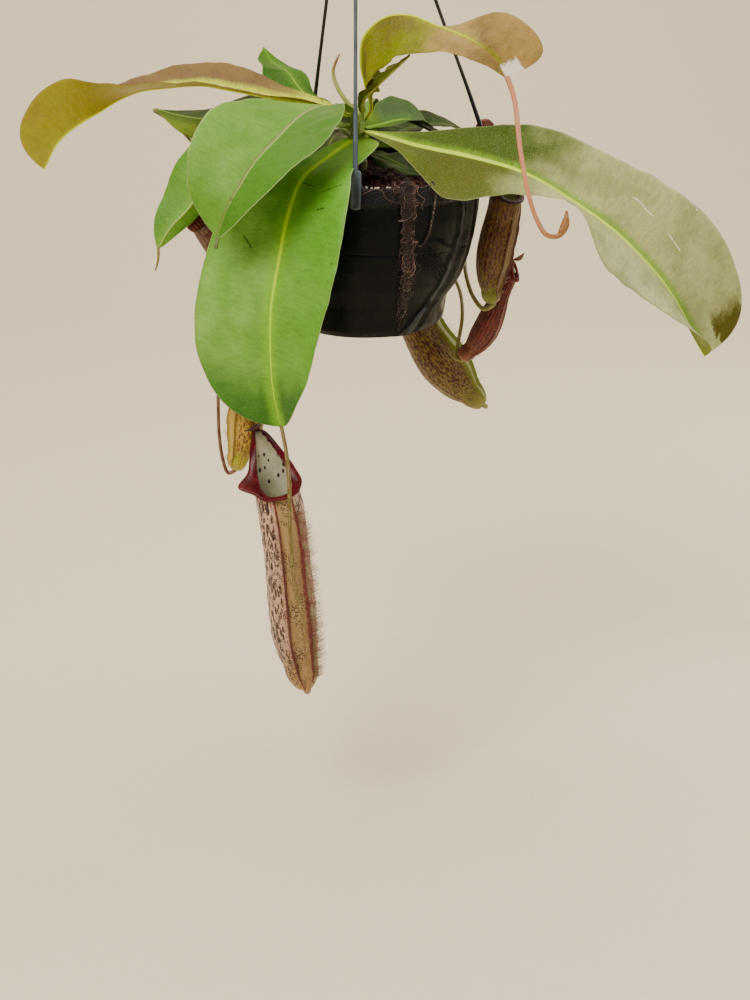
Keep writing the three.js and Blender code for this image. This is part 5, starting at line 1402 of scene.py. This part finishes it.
def tendril_path(tendril):
    """From a little inside the leaf's tip, through the points, and into the pitcher's foot."""
    path = [np.array(p, float) for p in tendril["points"]]
    if "leaf" in tendril:
        rib = np.array(LEAVES[tendril["leaf"]]["rib"], float)
        path.insert(0, rib[-1] - unit(rib[-1] - rib[-2]) * IN_LEAF)
    if "pitcher" in tendril:
        body = {**PITCHERS, **YOUNG_PITCHERS}[tendril["pitcher"]]["axis"]
        inward = unit(np.subtract(body[1], body[0]))
        path += [body[0] - inward * BEFORE_FOOT, body[0] + inward * IN_FOOT]
    return np.array(path)


for name, tendril in TENDRILS.items():
    ring, grown = rod(tendril_path(tendril), tendril["radii"], 160, 14)
    finish = TENDRIL_TONES[name if name in TENDRIL_TONES else tendril["slot"]]
    name = "tendril_" + name
    add_piece("twining_" + name, ring, finish, "tendril_" + tendril["slot"], name, **grown)
print("tendrils:", len(TENDRILS))

# %% [markdown]
# ## Cups
#
# A cup's wall is a function of two parameters again: the share s of the way from its foot to its mouth
# and the angle round it from the front. The mouth lies lower in front, so s stretches with the angle and
# every line of the pattern runs into the lip, as the veins do on the real one. The wings are part of the
# wall: near 24 degrees each side of the front it is pinched out into a thin frill.

# %% Cup wall
WING_ANGLE = math.radians(24)
CUP_THICKNESS = 1.0
FOOT_SHARE = 0.11


def slant(pitcher, angle):
    """How far up the axis the mouth is cut: lowest in front, all the way up at the back."""
    return pitcher["mouth"] + (1 - pitcher["mouth"]) * ((1 - np.cos(angle)) / 2) ** pitcher["neck"]


def pitcher_frame(pitcher, u):
    """Centre, forward, side and along, at shares u of the axis."""
    u = np.asarray(u, float)
    centre, along = spline(pitcher["axis"], np.clip(u, 0, 1).ravel())
    front = unit(np.array(pitcher["front"], float))
    forward = unit(front - along * (along @ front)[:, None])
    found = (centre, forward, np.cross(along, forward), along)
    return [vectors.reshape(u.shape + (3,)) for vectors in found]


def cup_radius(pitcher, u):
    """The radius at shares u of the axis, swollen by half a ball over the foot so that it ends bluntly."""
    foot = np.clip(u / FOOT_SHARE, 0, 1)
    ball = np.sqrt(np.clip(1 - (1 - foot) ** 2, 0, 1)) - foot
    return track(pitcher["radii"], u) + pitcher.get("blunt", 6) * ball


def cup_wall(pitcher, s, angle, off=0.0):
    """centre(u) + forward * r cos(angle) + side * r sin(angle), where u = s * slant and r = radius + off."""
    s, angle, off = np.broadcast_arrays(*(np.asarray(v, float) for v in (s, angle, off)))
    u = s * slant(pitcher, angle)
    centre, forward, side, along = pitcher_frame(pitcher, u)
    radius = cup_radius(pitcher, u) + off
    return centre + forward * (radius * np.cos(angle))[..., None] + side * (radius * np.sin(angle))[..., None]


def wing_rise(pitcher, s):
    """The wing's height: full over most of the cup, and down to nothing at the foot and the mouth."""
    return pitcher["wing"] * np.minimum(1.6 * np.sin(np.pi * np.clip(s, 0, 1) ** 0.8), 1)


def cup_surface(pitcher, seed, rows=150, around=200):
    """Outside from foot to mouth and inside back down, as one closed skin. The outside swells between
    soft lengthwise ribs; a wing is a ridge half a millimetre thick that wavers along its edge."""
    even = np.linspace(0, 2 * np.pi, around, endpoint=False)
    dense = WING_ANGLE + np.radians(np.linspace(-5, 5, 19))
    angle = np.sort(np.concatenate([even, dense, 2 * np.pi - dense]))[None]
    s = np.linspace(0, 1, rows)[:, None] ** 1.25
    radius = cup_radius(pitcher, s * slant(pitcher, angle))
    beside = np.minimum(np.abs(angle - WING_ANGLE), np.abs(angle - 2 * np.pi + WING_ANGLE)) * radius
    waver = 1 + 0.16 * ripple(cup_wall(pitcher, s, angle), 7, seed)
    ridge = np.clip(1.25 - beside / 0.55, 0, 1) * wing_rise(pitcher, s) * np.minimum(waver, 1)
    ribs = 0.16 * np.sin(22 * angle) + 0.25 * ripple(cup_wall(pitcher, s, angle), 14, seed + 1)
    outside = cup_wall(pitcher, s, angle, ridge + ribs * smooth(0, 0.1, s) * smooth(0, 0.06, 1 - s) - 0.1)
    inner = np.linspace(1, 0.14, rows // 2)[:, None]
    inside = cup_wall(pitcher, inner, angle, -CUP_THICKNESS)
    shares = np.concatenate([s + 0 * angle, inner + 0 * angle])
    turn = np.where(angle > np.pi, angle - 2 * np.pi, angle) / np.pi + 0 * shares
    within = (np.arange(len(shares)) >= rows)[:, None] + 0.0 * shares
    wide = np.concatenate([radius, track(pitcher["radii"], inner * slant(pitcher, angle))])
    length = np.linalg.norm(np.diff(pitcher["axis"], axis=0), axis=1).sum()
    grown = stacked(wide * np.cos(angle), wide * np.sin(angle), shares * slant(pitcher, angle) * length)
    return np.concatenate([outside, inside]), {"place": stacked(shares, turn, within), "grown": grown}


# %% [markdown]
# ## The skin of a cup
#
# Cups are cream, pink and tan, marked with dark dashes that are long on the sides and shrink to dots at
# the front, between the wings. Inside they are pale grey-green with dark blotches. The dashes are cells
# of a Voronoi pattern read on straightened coordinates, drawn out along the cup, so that they follow
# its bend and meet without a seam.

# %% Cup colour group
cup_paint = net = Group("cup_paint", dict(
    Where=None, Place=None, Grown=None, Low="b08a50", High="d9b4a0", Front="b99a6c", Dash="5a1f1c",
    Dash_amount=1.0, Dot_amount=0.6, Dash_scale=560.0, Wing="6e2426", Inside="a8a880", Spot="2c1c14",
), ["Color", "Height", "Dull"])
given = net.given
place = net.split(given["Place"])
turn = net.size(place["Y"])
clouded = net.cloud(given["Where"], 55.0, 5.0, 0.6)
height_up = net.plus(place["X"], net.times(clouded, 0.3))
tone = net.mixed(net.span(height_up, 0.2, 0.5), given["Low"], given["High"])
pale = net.mixed(net.span(clouded, 0.35, 0.7), tone, given["Front"])
tone = net.mixed(0.45, tone, pale)
tone = net.mixed(net.span(turn, 0.17, 0.11), tone, given["Front"])
shaken = net.put("TexNoise", {"Vector": given["Where"], "Scale": 500.0, "Detail": 2.0}).outputs["Color"]
small = net.put("VectorMath", {0: shaken, "Scale": 0.0007}, operation="SCALE").outputs["Vector"]
straight = net.stretched(given["Grown"], 0.001, 0.001, 0.00028)
bent = net.put("VectorMath", {0: straight, 1: small}, operation="ADD")
sockets = {"Vector": bent.outputs["Vector"], "Scale": given["Dash scale"], "Randomness": 0.85}
cells = net.put("TexVoronoi", sockets)
chosen = net.split(cells.outputs["Color"])["X"]
reach = net.span(chosen, 0.0, 0.8, 0.34, 0.62)
dashed = net.span(net.minus(reach, cells.outputs["Distance"]), 0.0, 0.06)
on_side = net.times(net.span(turn, 0.15, 0.22), given["Dash amount"])
above_foot = net.span(height_up, 0.2, 0.34)
dashed = net.times(dashed, net.times(on_side, above_foot))
tone = net.mixed(dashed, tone, given["Dash"])
dotted = net.freckled(given["Where"], 900.0, 0.46, given["Dot amount"])
tone = net.mixed(dotted, tone, given["Dash"])
ragged = net.times(net.cloud(given["Where"], 240.0, 4.0), 0.03)
off_wing = net.size(net.minus(net.plus(turn, ragged), 0.148))
tone = net.mixed(net.span(off_wing, 0.024, 0.008), tone, given["Wing"])
lining = net.mixed(net.span(clouded, 0.3, 0.7), given["Inside"], "c9c7a8")
blots = net.put("TexVoronoi", {"Vector": net.stretched(given["Where"], 1.0, 1.0, 0.6), "Scale": 330.0})
chosen = net.split(blots.outputs["Color"])["X"]
large = net.span(chosen, 0.45, 1.0, 0.0, 0.42)
blotched = net.span(net.minus(large, blots.outputs["Distance"]), 0.0, 0.05)
lining = net.mixed(blotched, lining, given["Spot"])
net.give(Color=net.mixed(net.span(place["Z"], 0.3, 0.7), tone, lining))
downy = net.cloud(given["Where"], 1100.0, 3.0)
net.give(Height=net.plus(downy, net.times(dashed, 0.4)))
net.give(Dull=net.span(clouded, 0.3, 0.7, 0.38, 0.55))
print("cup paint:", len(cup_paint.tree.nodes), "nodes")


def cup_finish(name, tones):
    """One pitcher's material: the shared paint with its own colours, slightly downy."""
    net = Finish(name, Specular_IOR_Level=0.4, Sheen_Weight=0.15)
    place, grown = net.stored("place"), net.stored("grown")
    out = net.use(cup_paint, dict(tones, Where=net.where(), Place=place, Grown=grown))
    net.feed(Base_Color=out["Color"], Roughness=out["Dull"])
    net.bumped(out["Height"], 0.0004)
    return net


# %% Cups and the hairs on their wings
CUP_TONES = {
    "main": dict(Low="ac8440", High="dcb098", Front="a88858", Dash="300808", Dot_amount=0.85,
        Dash_scale=690.0),
    "second": dict(Low="a8a41c", High="d0a83c", Front="c4a438", Dash="744408", Dash_amount=0.9,
        Wing="947c2c", Dash_scale=900.0),
    "right_upper": dict(Low="6c780a", High="74501c", Front="6c4c18", Dash="481808", Wing="4c1c08",
        Dash_scale=1150.0),
    "right_red": dict(Low="7c4824", High="74281c", Front="6c2418", Dash="480a06", Wing="400a08",
        Inside="6b2a20", Dash_scale=980.0),
    "under": dict(Low="847c2c", High="8c6c34", Front="7c7c30", Dash="4c1a0e", Wing="7c8c2c",
        Dash_scale=1000.0),
}
WING_HAIRS = {"main": 1500, "second": 120, "right_upper": 60, "right_red": 50, "under": 160}


def wing_hairs(pitcher, count, longest, left_share):
    """Fine hairs that stand out from each wing's edge, fan away from the front and lean up a little."""
    s = chance.uniform(0.06, 0.93, (count, 1))
    on_left = chance.uniform(0, 1, (count, 1)) < left_share
    angle = np.where(on_left, 2 * np.pi - WING_ANGLE, WING_ANGLE) + chance.normal(0, 0.012, (count, 1))
    t = np.linspace(0, 1, 5)[None]
    out = wing_rise(pitcher, s) * 0.9 - 0.3 + longest * chance.uniform(0.4, 1, (count, 1)) * t
    fanned = chance.uniform(-0.05, 0.5, (count, 1)) * np.where(on_left, -1, 1)
    spread = angle + fanned * t
    rise = chance.uniform(-0.004, 0.012, (count, 1)) * t**1.5
    return cup_wall(pitcher, np.clip(s + rise, 0, 1), spread, out)


hair_skin = net = Finish("wing_hair", Roughness=0.6, Specular_IOR_Level=0.4)
where = net.where()
rusty = net.span(net.cloud(where, 150.0), 0.35, 0.65)
net.feed(Base_Color=net.mixed(rusty, "9c6458", "b4a47c"))
net.bumped(net.cloud(where, 3000.0), 0.00005)
for number, (name, pitcher) in enumerate(PITCHERS.items()):
    ring, attributes = cup_surface(pitcher, 300 + 9 * number)
    finish, slot = cup_finish("cup_" + name + "_skin", CUP_TONES[name]), "pitcher_" + pitcher["slot"]
    add_piece("cup_" + name, ring, finish, slot, "pitcher_" + name + "_cup", **attributes)
    paths = wing_hairs(pitcher, WING_HAIRS[name], 0.8 + 1.3 * pitcher["wing"], pitcher.get("left_hairs", 0.5))
    form = hairs(paths, np.linspace(0.11, 0.05, 5) + 0 * paths[..., 0])
    add_piece("wing_hairs_" + name, form, hair_skin, slot)
print("cups:", len(PITCHERS))

# %% [markdown]
# ## Lips and lids
#
# The lip is a glossy rolled collar, ribbed by fine ridges that run across it and stand a tenth of a
# millimetre high. It is a section carried round the mouth, and the ribs are a cosine of the angle added
# to it. The lid is a small dome with a keel and a few raised veins.

# %% Lip
LIP_CORNER, LIP_RISE, RIB_DEPTH = 1.25, 0.65, 0.03


def round_section(width, rise, inward):
    """The rolled section (out, up) as a smooth closed curve through its seven points."""
    corner = [[-inward + 0 * width, rise], [-inward - 0.2 + 0 * width, rise + 1], [0 * width, rise + 1.7],
              [width * 0.6, rise + 1.6], [width, rise + 0.6], [width * 0.9, rise - 0.6],
              [1.4 + 0 * width, rise + 0.1]]
    knots = np.stack([stacked(out, up) for out, up in corner], 1)
    f = np.linspace(0, 1, 5, endpoint=False)[None, None, :, None]
    p0, p1, p2, p3 = (np.roll(knots, shift, axis=1)[:, :, None] for shift in (1, 0, -1, -2))
    curve = p1 + 0.5 * f * (p2 - p0 + f * (2 * p0 - 5 * p1 + 4 * p2 - p3 + f * (3 * (p1 - p2) + p3 - p0)))
    return curve.reshape(len(width), -1, 2)


def lip_surface(pitcher, ribs):
    """The section carried round the mouth, square to its edge, with a fine cosine of ribs across it."""
    angle = np.linspace(0, 2 * np.pi, ribs * 6, endpoint=False)
    here = cup_wall(pitcher, 1.0, angle, -CUP_THICKNESS / 2)
    tangent = unit(np.roll(here, -1, axis=0) - np.roll(here, 1, axis=0))
    centre, forward, side, along = pitcher_frame(pitcher, slant(pitcher, angle))
    out = forward * np.cos(angle)[:, None] + side * np.sin(angle)[:, None]
    out = unit(out - tangent * (out * tangent).sum(-1, keepdims=True))
    up = along - tangent * (along * tangent).sum(-1, keepdims=True)
    up = unit(up - out * (up * out).sum(-1, keepdims=True))
    width = pitcher["lip"] * (0.75 + 0.25 * np.cos(angle))
    narrow, corner = pitcher.get("corner_width", 0.35), pitcher.get("corner_angle", LIP_CORNER)
    for amount, at in zip(pitcher["corners"], (LIP_CORNER, 2 * np.pi - corner)):
        width = width + amount * np.exp(-(((angle - at) / narrow) ** 2))
    section = round_section(width, LIP_RISE, pitcher.get("inward", 1.3))
    middle = section.mean(1, keepdims=True)
    section = middle + (section - middle) * (1 - RIB_DEPTH - RIB_DEPTH * np.cos(ribs * angle))[:, None, None]
    ring = here[:, None] + out[:, None] * section[..., :1] + up[:, None] * section[..., 1:]
    crossing = stacked(10 * np.cos(angle)[:, None], 10 * np.sin(angle)[:, None], section[..., 0])
    return ring, crossing


def lip_finish(name, dark, light):
    """Wet-looking: two reds, darker streaks across the collar, and a clear coat over them."""
    net = Finish(name, Specular_IOR_Level=0.16, Coat_Weight=0.12, Coat_Roughness=0.06)
    where = net.where()
    crossing = net.stored("crossing")
    lines = net.cloud(net.stretched(crossing, 1.0, 1.0, 0.12), 5.0, 4.0, 0.7)
    patches = net.span(net.cloud(where, 110.0, 3.0), 0.35, 0.7)
    tone = net.mixed(patches, tint(dark), tint(light))
    striped = net.times(net.span(lines, 0.55, 0.75), 0.5)
    net.feed(Base_Color=net.mixed(striped, tone, "3a060e"))
    net.feed(Roughness=net.span(lines, 0.2, 0.8, 0.2, 0.36))
    net.bumped(lines, 0.0002)
    return net


# %% Lid
def lid_surface(pitcher):
    """An oval that starts at the back of the mouth: middle(t) + side * a * half width + normal * dome, with
    a keel down its middle and veins that fan out from it. Its edge is thin."""
    made = pitcher["lid"]
    centre, forward, side, along = (v[0] for v in pitcher_frame(pitcher, np.array([1.0])))
    lean = math.radians(made["lean"])
    direction = along * math.cos(lean) + forward * math.sin(lean)
    normal = np.cross(side, direction)
    start = centre - forward * pitcher["radii"][-1] + along * made["rise"]
    t = ((1 - np.cos(np.linspace(0, np.pi, 60))) / 2)[:, None]
    a = np.sin(np.linspace(-np.pi / 2, np.pi / 2, 41))[None]
    half = np.maximum(made["width"] / 2 * np.sqrt(np.clip(1 - (2 * t - 1) ** 2, 0, 1)), 0.9)
    dome = 2.2 * np.sin(np.pi * t) * (1 - a * a)
    veins = 0.16 * np.cos(9 * a * np.pi) * np.sin(np.pi * t) * (1 - a**4) + 0.3 * np.exp(-((a / 0.07) ** 2))
    middle = start + direction * (t * made["length"])[..., None] + side * (a * half)[..., None]
    thin = 0.42 * np.sqrt(np.clip(1 - np.abs(a) ** 6, 0.08, 1))
    top = middle + normal * (dome + thin + veins * 0.6)[..., None]
    bottom = middle + normal * (dome - thin)[..., None]
    ring = np.concatenate([top, bottom[:, ::-1]], axis=1)
    flat = stacked(a * half, t * made["length"], 0 * a)
    return ring, np.concatenate([flat, flat[:, ::-1]], axis=1)


def lid_finish(name, body, edge):
    """Satin and mottled, with veins that fan out from where the lid is hinged."""
    net = Finish(name, Specular_IOR_Level=0.45)
    where = net.where()
    fanned = net.cloud(net.stretched(net.stored("flat"), 1.0, 0.2, 1.0), 0.9, 4.0, 0.6)
    tone = net.mixed(net.span(fanned, 0.4, 0.65), tint(body), tint(edge))
    specks = net.freckled(where, 700.0, 0.35, 0.7)
    net.feed(Base_Color=net.mixed(specks, tone, "2a0c0a"))
    net.feed(Roughness=net.span(net.cloud(where, 300.0), 0.3, 0.7, 0.34, 0.55))
    net.bumped(fanned, 0.0004)
    return net


# %% Lips and lids in place
LIP_TONES = {
    "main": ("46040a", "620a14"), "second": ("94561c", "7c3a14"), "right_upper": ("240806", "3c140e"),
    "right_red": ("4c0c08", "6c1c12"), "under": ("54100c", "74241a"),
}
LID_TONES = {
    "main": ("38090c", "4a140e"), "second": ("a08a2c", "8c6420"), "right_upper": ("341408", "4c2810"),
    "right_red": ("4c140a", "682c12"), "under": ("543814", "70642a"),
}
for name, pitcher in PITCHERS.items():
    ring, crossing = lip_surface(pitcher, 110 if name == "main" else 80)
    finish, node = lip_finish("lip_" + name + "_skin", *LIP_TONES[name]), "pitcher_" + name
    form = ring, skin(*ring.shape[:2], closed=True)
    add_piece("lip_" + name, form, finish, "lip_burgundy", node + "_lip", crossing=crossing)
    ring, flat = lid_surface(pitcher)
    finish = lid_finish("lid_" + name + "_skin", *LID_TONES[name])
    add_piece("lid_" + name, ring, finish, "lid_maroon", node + "_lid", flat=flat)
print("lips and lids:", len(LIP_TONES), "each")

# %% [markdown]
# ## Young pitchers
#
# Two pitchers are still closed. Each is a swollen rod with faint ribs along it, and a cap with strong
# ones, which is the folded lip.

# %% Closed bodies and ribbed caps
def ribbed(ring, scale):
    """Each ring scaled about its own middle by one number per point."""
    centre = ring.mean(1, keepdims=True)
    return centre + (ring - centre) * scale[..., None]


young_skin = tendril_finish("young_red_skin", "5c3a1c", "5c2418", "38100a")
cap_skin = lip_finish("young_cap_skin", "5c2418", "7c3a22")
for name, young in YOUNG_PITCHERS.items():
    ring, grown = rod(young["axis"], young["radii"], 90, 48)
    turn = np.arange(48) * 2 * np.pi / 48
    rise = 0.03 * np.minimum(3 * grown["share"].reshape(-1, 48), 1)
    node = "pitcher_" + name
    form = ribbed(ring, 0.97 + rise * np.cos(12 * turn))
    add_piece("closed_" + name, form, young_skin, "pitcher_red", node + "_body", **grown)
    ring, grown = rod(young["cap"], young["cap_radii"], 40, 144)
    turn = np.arange(144) * 2 * np.pi / 144
    crossing = stacked(10 * np.cos(turn), 10 * np.sin(turn), grown["grown"][..., 2])
    form = ribbed(ring, 0.92 + 0.08 * np.cos(16 * turn))
    add_piece("cap_" + name, form, cap_skin, "lip_burgundy", node + "_cap", crossing=crossing)
print("young pitchers:", len(YOUNG_PITCHERS))

# %% [markdown]
# ## Measure and finish
#
# Last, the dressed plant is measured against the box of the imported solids. The large right leaf stands
# 5.4 mm outside it on the right and the long left leaf's curled edge 2.4 mm on the left. The rest stays
# within 0.2 mm of it.

# %% Sizes
visual_box = [list(corner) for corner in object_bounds()]
for label, box in (("solids", cad_box), ("dressed", visual_box)):
    print(label, [round(MM_PER_METRE * (high - low), 1) for low, high in zip(*box)], "mm")
